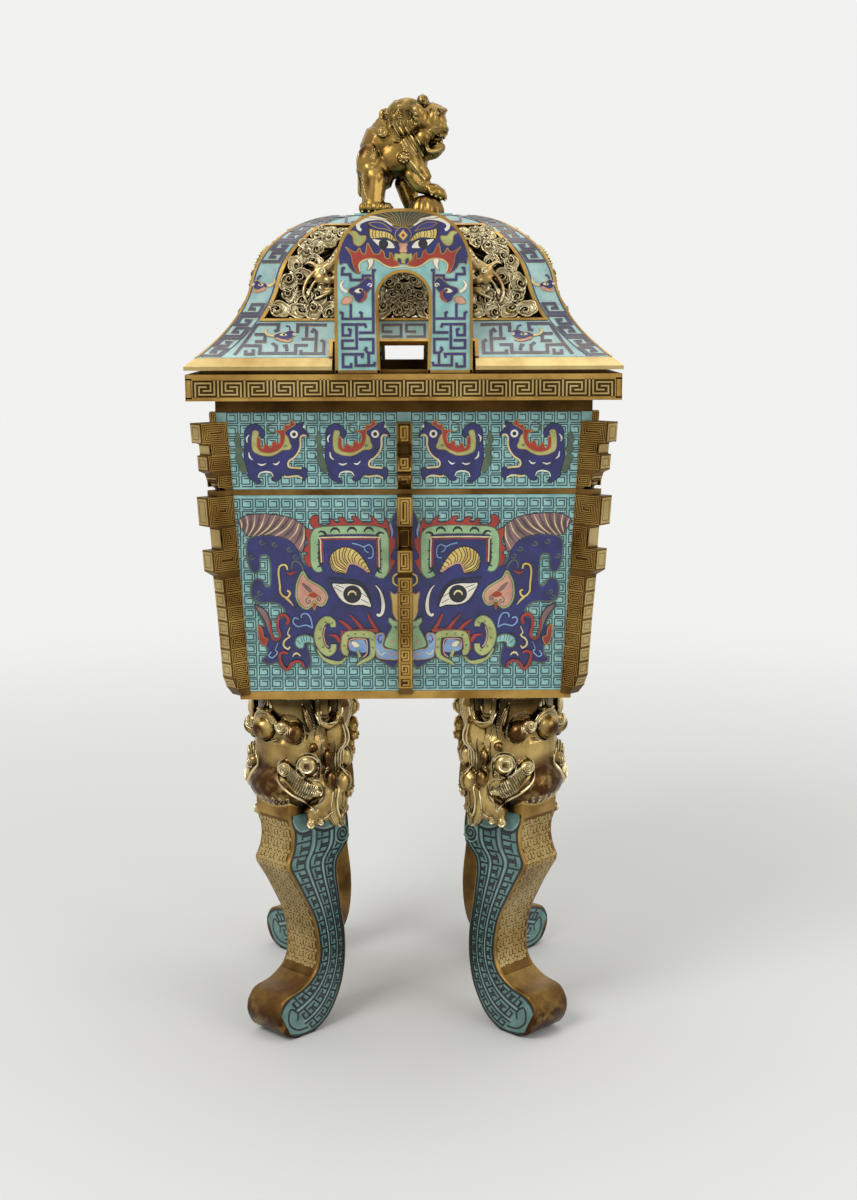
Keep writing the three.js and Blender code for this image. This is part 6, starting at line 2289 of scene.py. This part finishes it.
ROW_EDGES = (0.0, 7.8, 18.0, 30.0)
HOOK_PITCH, HOOK_LINE = 15.2, 2.1
ROWS_FROM, ROWS_TO = 27.0, 262.0
DOUBLE_HOOK = (
    [(0.3, 0.26), (0.3, 0.0), (0.72, 0.0), (0.72, 0.84), (0.3, 0.84), (0.3, 0.58)],
    [(0.72, 0.42), (0.0, 0.42)],
)


def row_hooks(sheet, low, high, along):
    """A bar with two hooked arms and a middle arm that joins the row's dark line."""
    for path in DOUBLE_HOOK:
        line = [(high - (high - low) * a, along + HOOK_PITCH * b) for a, b in path]
        sheet.bar([in_leg(*p) for p in finely(line, 2.5)], HOOK_LINE, NIGHT_BLUE, 0.62)


def leg_enamel():
    """The drawing for one side: field, edge line, dark and light lines, hooks and the toe's scroll."""
    sheet = Sheet()
    low, top = 5.0, 268.0
    steps = [low + (top - low) * i / 60 for i in range(61)]
    field = [in_leg(0, s) for s in steps] + [in_leg(ROWS_WIDE, s) for s in reversed(steps)]
    sheet.tile(field, LEG_TEAL, 0.45)
    for across, width, finish, rise in (
        (0.0, 2.2, NIGHT_BLUE, 0.6),
        (ROWS_WIDE, 2.2, NIGHT_BLUE, 0.6),
        (ROW_EDGES[1], HOOK_LINE, NIGHT_BLUE, 0.6),
        (ROW_EDGES[2], HOOK_LINE, NIGHT_BLUE, 0.6),
        (ROW_EDGES[1] + 1.5, 1.5, LEG_LIGHT, 0.55),
        (ROW_EDGES[2] + 1.5, 1.5, LEG_LIGHT, 0.55),
    ):
        start = ROWS_FROM - 4 if 0 < across < ROWS_WIDE else low
        line = [start + (top - start) * i / 70 for i in range(71)]
        sheet.bar([in_leg(across, s) for s in line], width, finish, rise)
    for low_edge, high_edge in zip(ROW_EDGES, ROW_EDGES[1:]):
        for i in range(int((ROWS_TO - ROWS_FROM) / HOOK_PITCH)):
            row_hooks(sheet, low_edge, high_edge, ROWS_FROM + i * HOOK_PITCH)
    toe = [in_leg(a, s) for a, s in ((4, 24), (5, 14), (12, 9), (20, 12), (24, 20), (18, 24), (13, 19))]
    sheet.bar(smooth(toe, 5), 2.0, NIGHT_BLUE, 0.62)
    sheet.bar(smooth([in_leg(a, s) for a, s in ((27, 26), (22, 26), (21, 22))], 4), 2.0, NIGHT_BLUE, 0.62)
    return sheet


CALF_CURL = (-32.5, 201)
SCALLOPS = [
    (33.5, 226), (31, 219), (24, 212.5), (14, 212), (9, 218), (3, 213), (-8, 209), (-20, 210), (-28, 218),
]


def calf_curl(sheet):
    sheet.tile(spiral(CALF_CURL, 8.6, 0.96, steps=20, inner=8.6), LEG_TEAL, 0.72)
    sheet.bar(spiral(CALF_CURL, 8.2, 1.9, 250, inner=1.4, steps=18), HOOK_LINE, NIGHT_BLUE, 0.84)
    sheet.bar(spiral(CALF_CURL, 9.8, 0.6, 200, inner=9.8, steps=20), 1.2, LEG_LIGHT, 0.8)


def leg_top(sheet):
    scallops = smooth(SCALLOPS, 4)
    sheet.tile(scallops + [(-34, 231), (34, 231)], LEG_TEAL, 0.8)
    sheet.bar(scallops, 3.6, NIGHT_BLUE, 0.86)
    sheet.bar([(x, z + 2.2) for x, z in scallops], 1.6, LEG_LIGHT, 0.92)


def leg_inlay():
    sheet = leg_enamel()
    calf_curl(sheet)
    leg_top(sheet)
    vertices, faces, marks = [], [], []
    for hand in (-1, 1):
        for turn in LEG_TURNS:
            first = len(vertices)
            vertices += [v * MM for v in leg_place(sheet.points, turn, hand)]
            faces += [tuple(first + i for i in face) for face in sheet.faces]
            marks += sheet.marks
    mesh = mesh_of("leg_enamels", vertices, faces, sheet.finishes, marks)
    solid = bmesh.new()
    solid.from_mesh(mesh)
    bmesh.ops.recalc_face_normals(solid, faces=solid.faces)
    solid.to_mesh(mesh)
    solid.free()
    return mesh


piece(leg_inlay(), "vessel")

# %% The engraved shins
SHIN_LINE = smooth(FOOT_AND_SHIN[4:], 7) + smooth(KNEE, 5)
SHIN_ALONG = lengths(SHIN_LINE)
SHIN_LOW, SHIN_LEFT = 15, 19  # where the engraving starts, and what it leaves free of the whole length
SHIN_STRIPS = 60
SHIN_HALF = 21
SCROLL_PITCH = 4.6


def on_shin(x, along, lift):
    """Across the shin, up along it from above the foot, and out from it."""
    i, share = step_at(SHIN_ALONG, along)
    (d0, z0), (d1, z1) = SHIN_LINE[i], SHIN_LINE[i + 1]
    run = Vector((d1 - d0, z1 - z0)).normalized()
    d, z = d0 + (d1 - d0) * share, z0 + (z1 - z0) * share
    return (x, -(STUD_RADIUS + d + run.y * lift), z - run.x * lift)


def engraved_ground():
    """The dark ground, in short strips that bend with the shin."""
    ground = Sheet()
    for i in range(SHIN_STRIPS):
        ends = (SHIN_LOW + (SHIN_ALONG[-1] - SHIN_LEFT) * k / SHIN_STRIPS for k in (i, i + 1))
        ground.tile(rectangle(-SHIN_HALF, SHIN_HALF, *ends), ENGRAVED, 0.12)
    return ground


def engraving():
    """Small bright scrolls all over, in rows that are shifted against each other."""
    unit = Sheet()
    for i in range(3):
        for j in range(3):
            u, v = SCROLL_PITCH * (i + (j % 2) / 2), 4.1 * j
            start = 97 * i + 151 * j
            hand = 1 if (i + j) % 2 else -1
            unit.bar(spiral((u, v), 2.3, hand * 1.6, start, steps=6), (1.2, 1.1, 0.7), SHEEN_GILT, 0.3)
    return repeated(unit, 3, 14, 3 * SCROLL_PITCH, 12.3, (-5.75, SHIN_ALONG[-1] / 2 + 4))


shin_sets = [(sheet, on_shin, LEG_TURNS) for sheet in (engraved_ground(), engraving())]
lay("shin_engraving", "vessel", shin_sets)
turned_pieces(blade_mesh(), "leg_blade", CORNERS, "vessel", "leg")

# %% [markdown]
# The frame's own pieces that still show get their finishes here.

# %% Finishes of the frame's own pieces
OWN_FINISHES = (
    (("lower_panel", "upper_panel", "handle", "lid_shell", "finial_plinth"), TURQUOISE),
    # The lid's edge moulding takes the paler gilt: a painted sheen.
    (("lid_edge",), SHEEN_GILT),
    (("upper_flange", "lower_flange", "lid_seat_frame", "middle_band"), GILT_GROUND),
    # The neck band lies under the rim's overhang, and its dark groove colour is a painted shadow.
    (("neck_band",), GROOVE),
    (("leg_stud", "leg_nut", "finial_bolt"), DARK_BRONZE),
    (("ash_liner",), COPPER),
)
for name, node in nodes.items():
    fitting = [finish for starts, finish in OWN_FINISHES if name.startswith(starts)]
    node.data.materials.clear()
    node.data.materials.append(fitting[0] if fitting else GILT)

# %% [markdown]
# The camera stands where the photograph was taken from: its place, tilt and focal length come from a fit to
# the corners of the rim, the lid and the feet.

# %% Camera
CAMERA_PLACE = Vector((2.5, -1835.6, 723.6)) * MM
LOOK = Vector((0.01173, 0.98684, -0.16127)).normalized()
ROLL = math.radians(-0.18)
FOCAL_LENGTH = 53.0  # mm on a 36 mm sensor

level = LOOK.cross(Vector((0, 0, 1))).normalized()
right = math.cos(ROLL) * level + math.sin(ROLL) * level.cross(LOOK)
up = right.cross(LOOK)
eye = bpy.data.cameras.new("camera")
eye.sensor_width = 36.0
eye.lens = FOCAL_LENGTH
camera = linked("camera", eye)
turn = Matrix((right, up, -LOOK)).transposed().to_4x4()
camera.matrix_world = Matrix.Translation(CAMERA_PLACE) @ turn
bpy.context.scene.camera = camera
print("camera at", tuple(CAMERA_PLACE))

# %% [markdown]
# A plain studio: a pale floor, a pale world and three large soft lamps. The background is white only for
# the rays that see it, so it adds no light to the object.

# %% Floor, world and lamps
def area_lamp(name, place, target, size, power):
    lamp = bpy.data.lights.new(name, "AREA")
    lamp.size = size
    lamp.energy = power
    holder = linked(name, lamp)
    holder.location = place
    holder.rotation_euler = (Vector(target) - Vector(place)).to_track_quat("-Z", "Y").to_euler()


MIDDLE = (0.0, 0.0, 0.5)
STUDIO_WHITE = "#F2F2F0"
AIR_LIGHT = 0.6  # strength of the world as a lamp, where a ray that sees it finds 1
FLOOR_REACH = 6.0  # metres
area_lamp("key_lamp", (-1.6, -2.0, 2.6), MIDDLE, 1.5, 44.0)
area_lamp("fill_lamp", (2.2, -1.8, 1.4), MIDDLE, 1.8, 20.0)
area_lamp("top_lamp", (0.2, 0.6, 3.0), MIDDLE, 1.8, 16.0)

world = bpy.data.worlds.new("studio")
bpy.context.scene.world = world
world.use_nodes = True
air = world.node_tree
ambient = air.nodes["Background"]
ambient.inputs["Color"].default_value = linear(STUDIO_WHITE)
ray = add_node(air, "ShaderNodeLightPath").outputs
seen = combined(air, "MAXIMUM", ray["Is Camera Ray"], ray["Is Glossy Ray"])
air.links.new(ranged(air, seen, 0.0, 1.0, AIR_LIGHT, 1.0), ambient.inputs["Strength"])

floor_finish, studio, floor_surface = new_material("pale_floor")
floor_surface.inputs["Base Color"].default_value = linear("#E9E9E7")
floor_surface.inputs["Roughness"].default_value = 0.7
away = add_node(studio, "ShaderNodeVectorMath", {"operation": "LENGTH"}, in0=object_place(studio))
soft = {"interpolation_type": "SMOOTHSTEP", "From Min": 0.45, "From Max": 2.4}
fade = add_node(studio, "ShaderNodeMapRange", soft, Value=away.outputs["Value"]).outputs[0]
look = add_node(studio, "ShaderNodeLightPath").outputs
share = combined(studio, "MULTIPLY", fade, look["Is Camera Ray"])
glow = add_node(studio, "ShaderNodeEmission", {"Color": linear(STUDIO_WHITE)}).outputs[0]
blend = add_node(studio, "ShaderNodeMixShader", in0=share, in1=floor_surface.outputs[0], in2=glow)
output = next(node for node in studio.nodes if node.type == "OUTPUT_MATERIAL")
studio.links.new(blend.outputs[0], output.inputs["Surface"])
corners = rectangle(-FLOOR_REACH, FLOOR_REACH, -FLOOR_REACH, FLOOR_REACH)
floor = linked("floor", mesh_of("floor", [(x, y, 0) for x, y in corners], [(0, 1, 2, 3)], [floor_finish]))
bpy.context.scene.view_settings.view_transform = "Standard"
print("the studio is set")
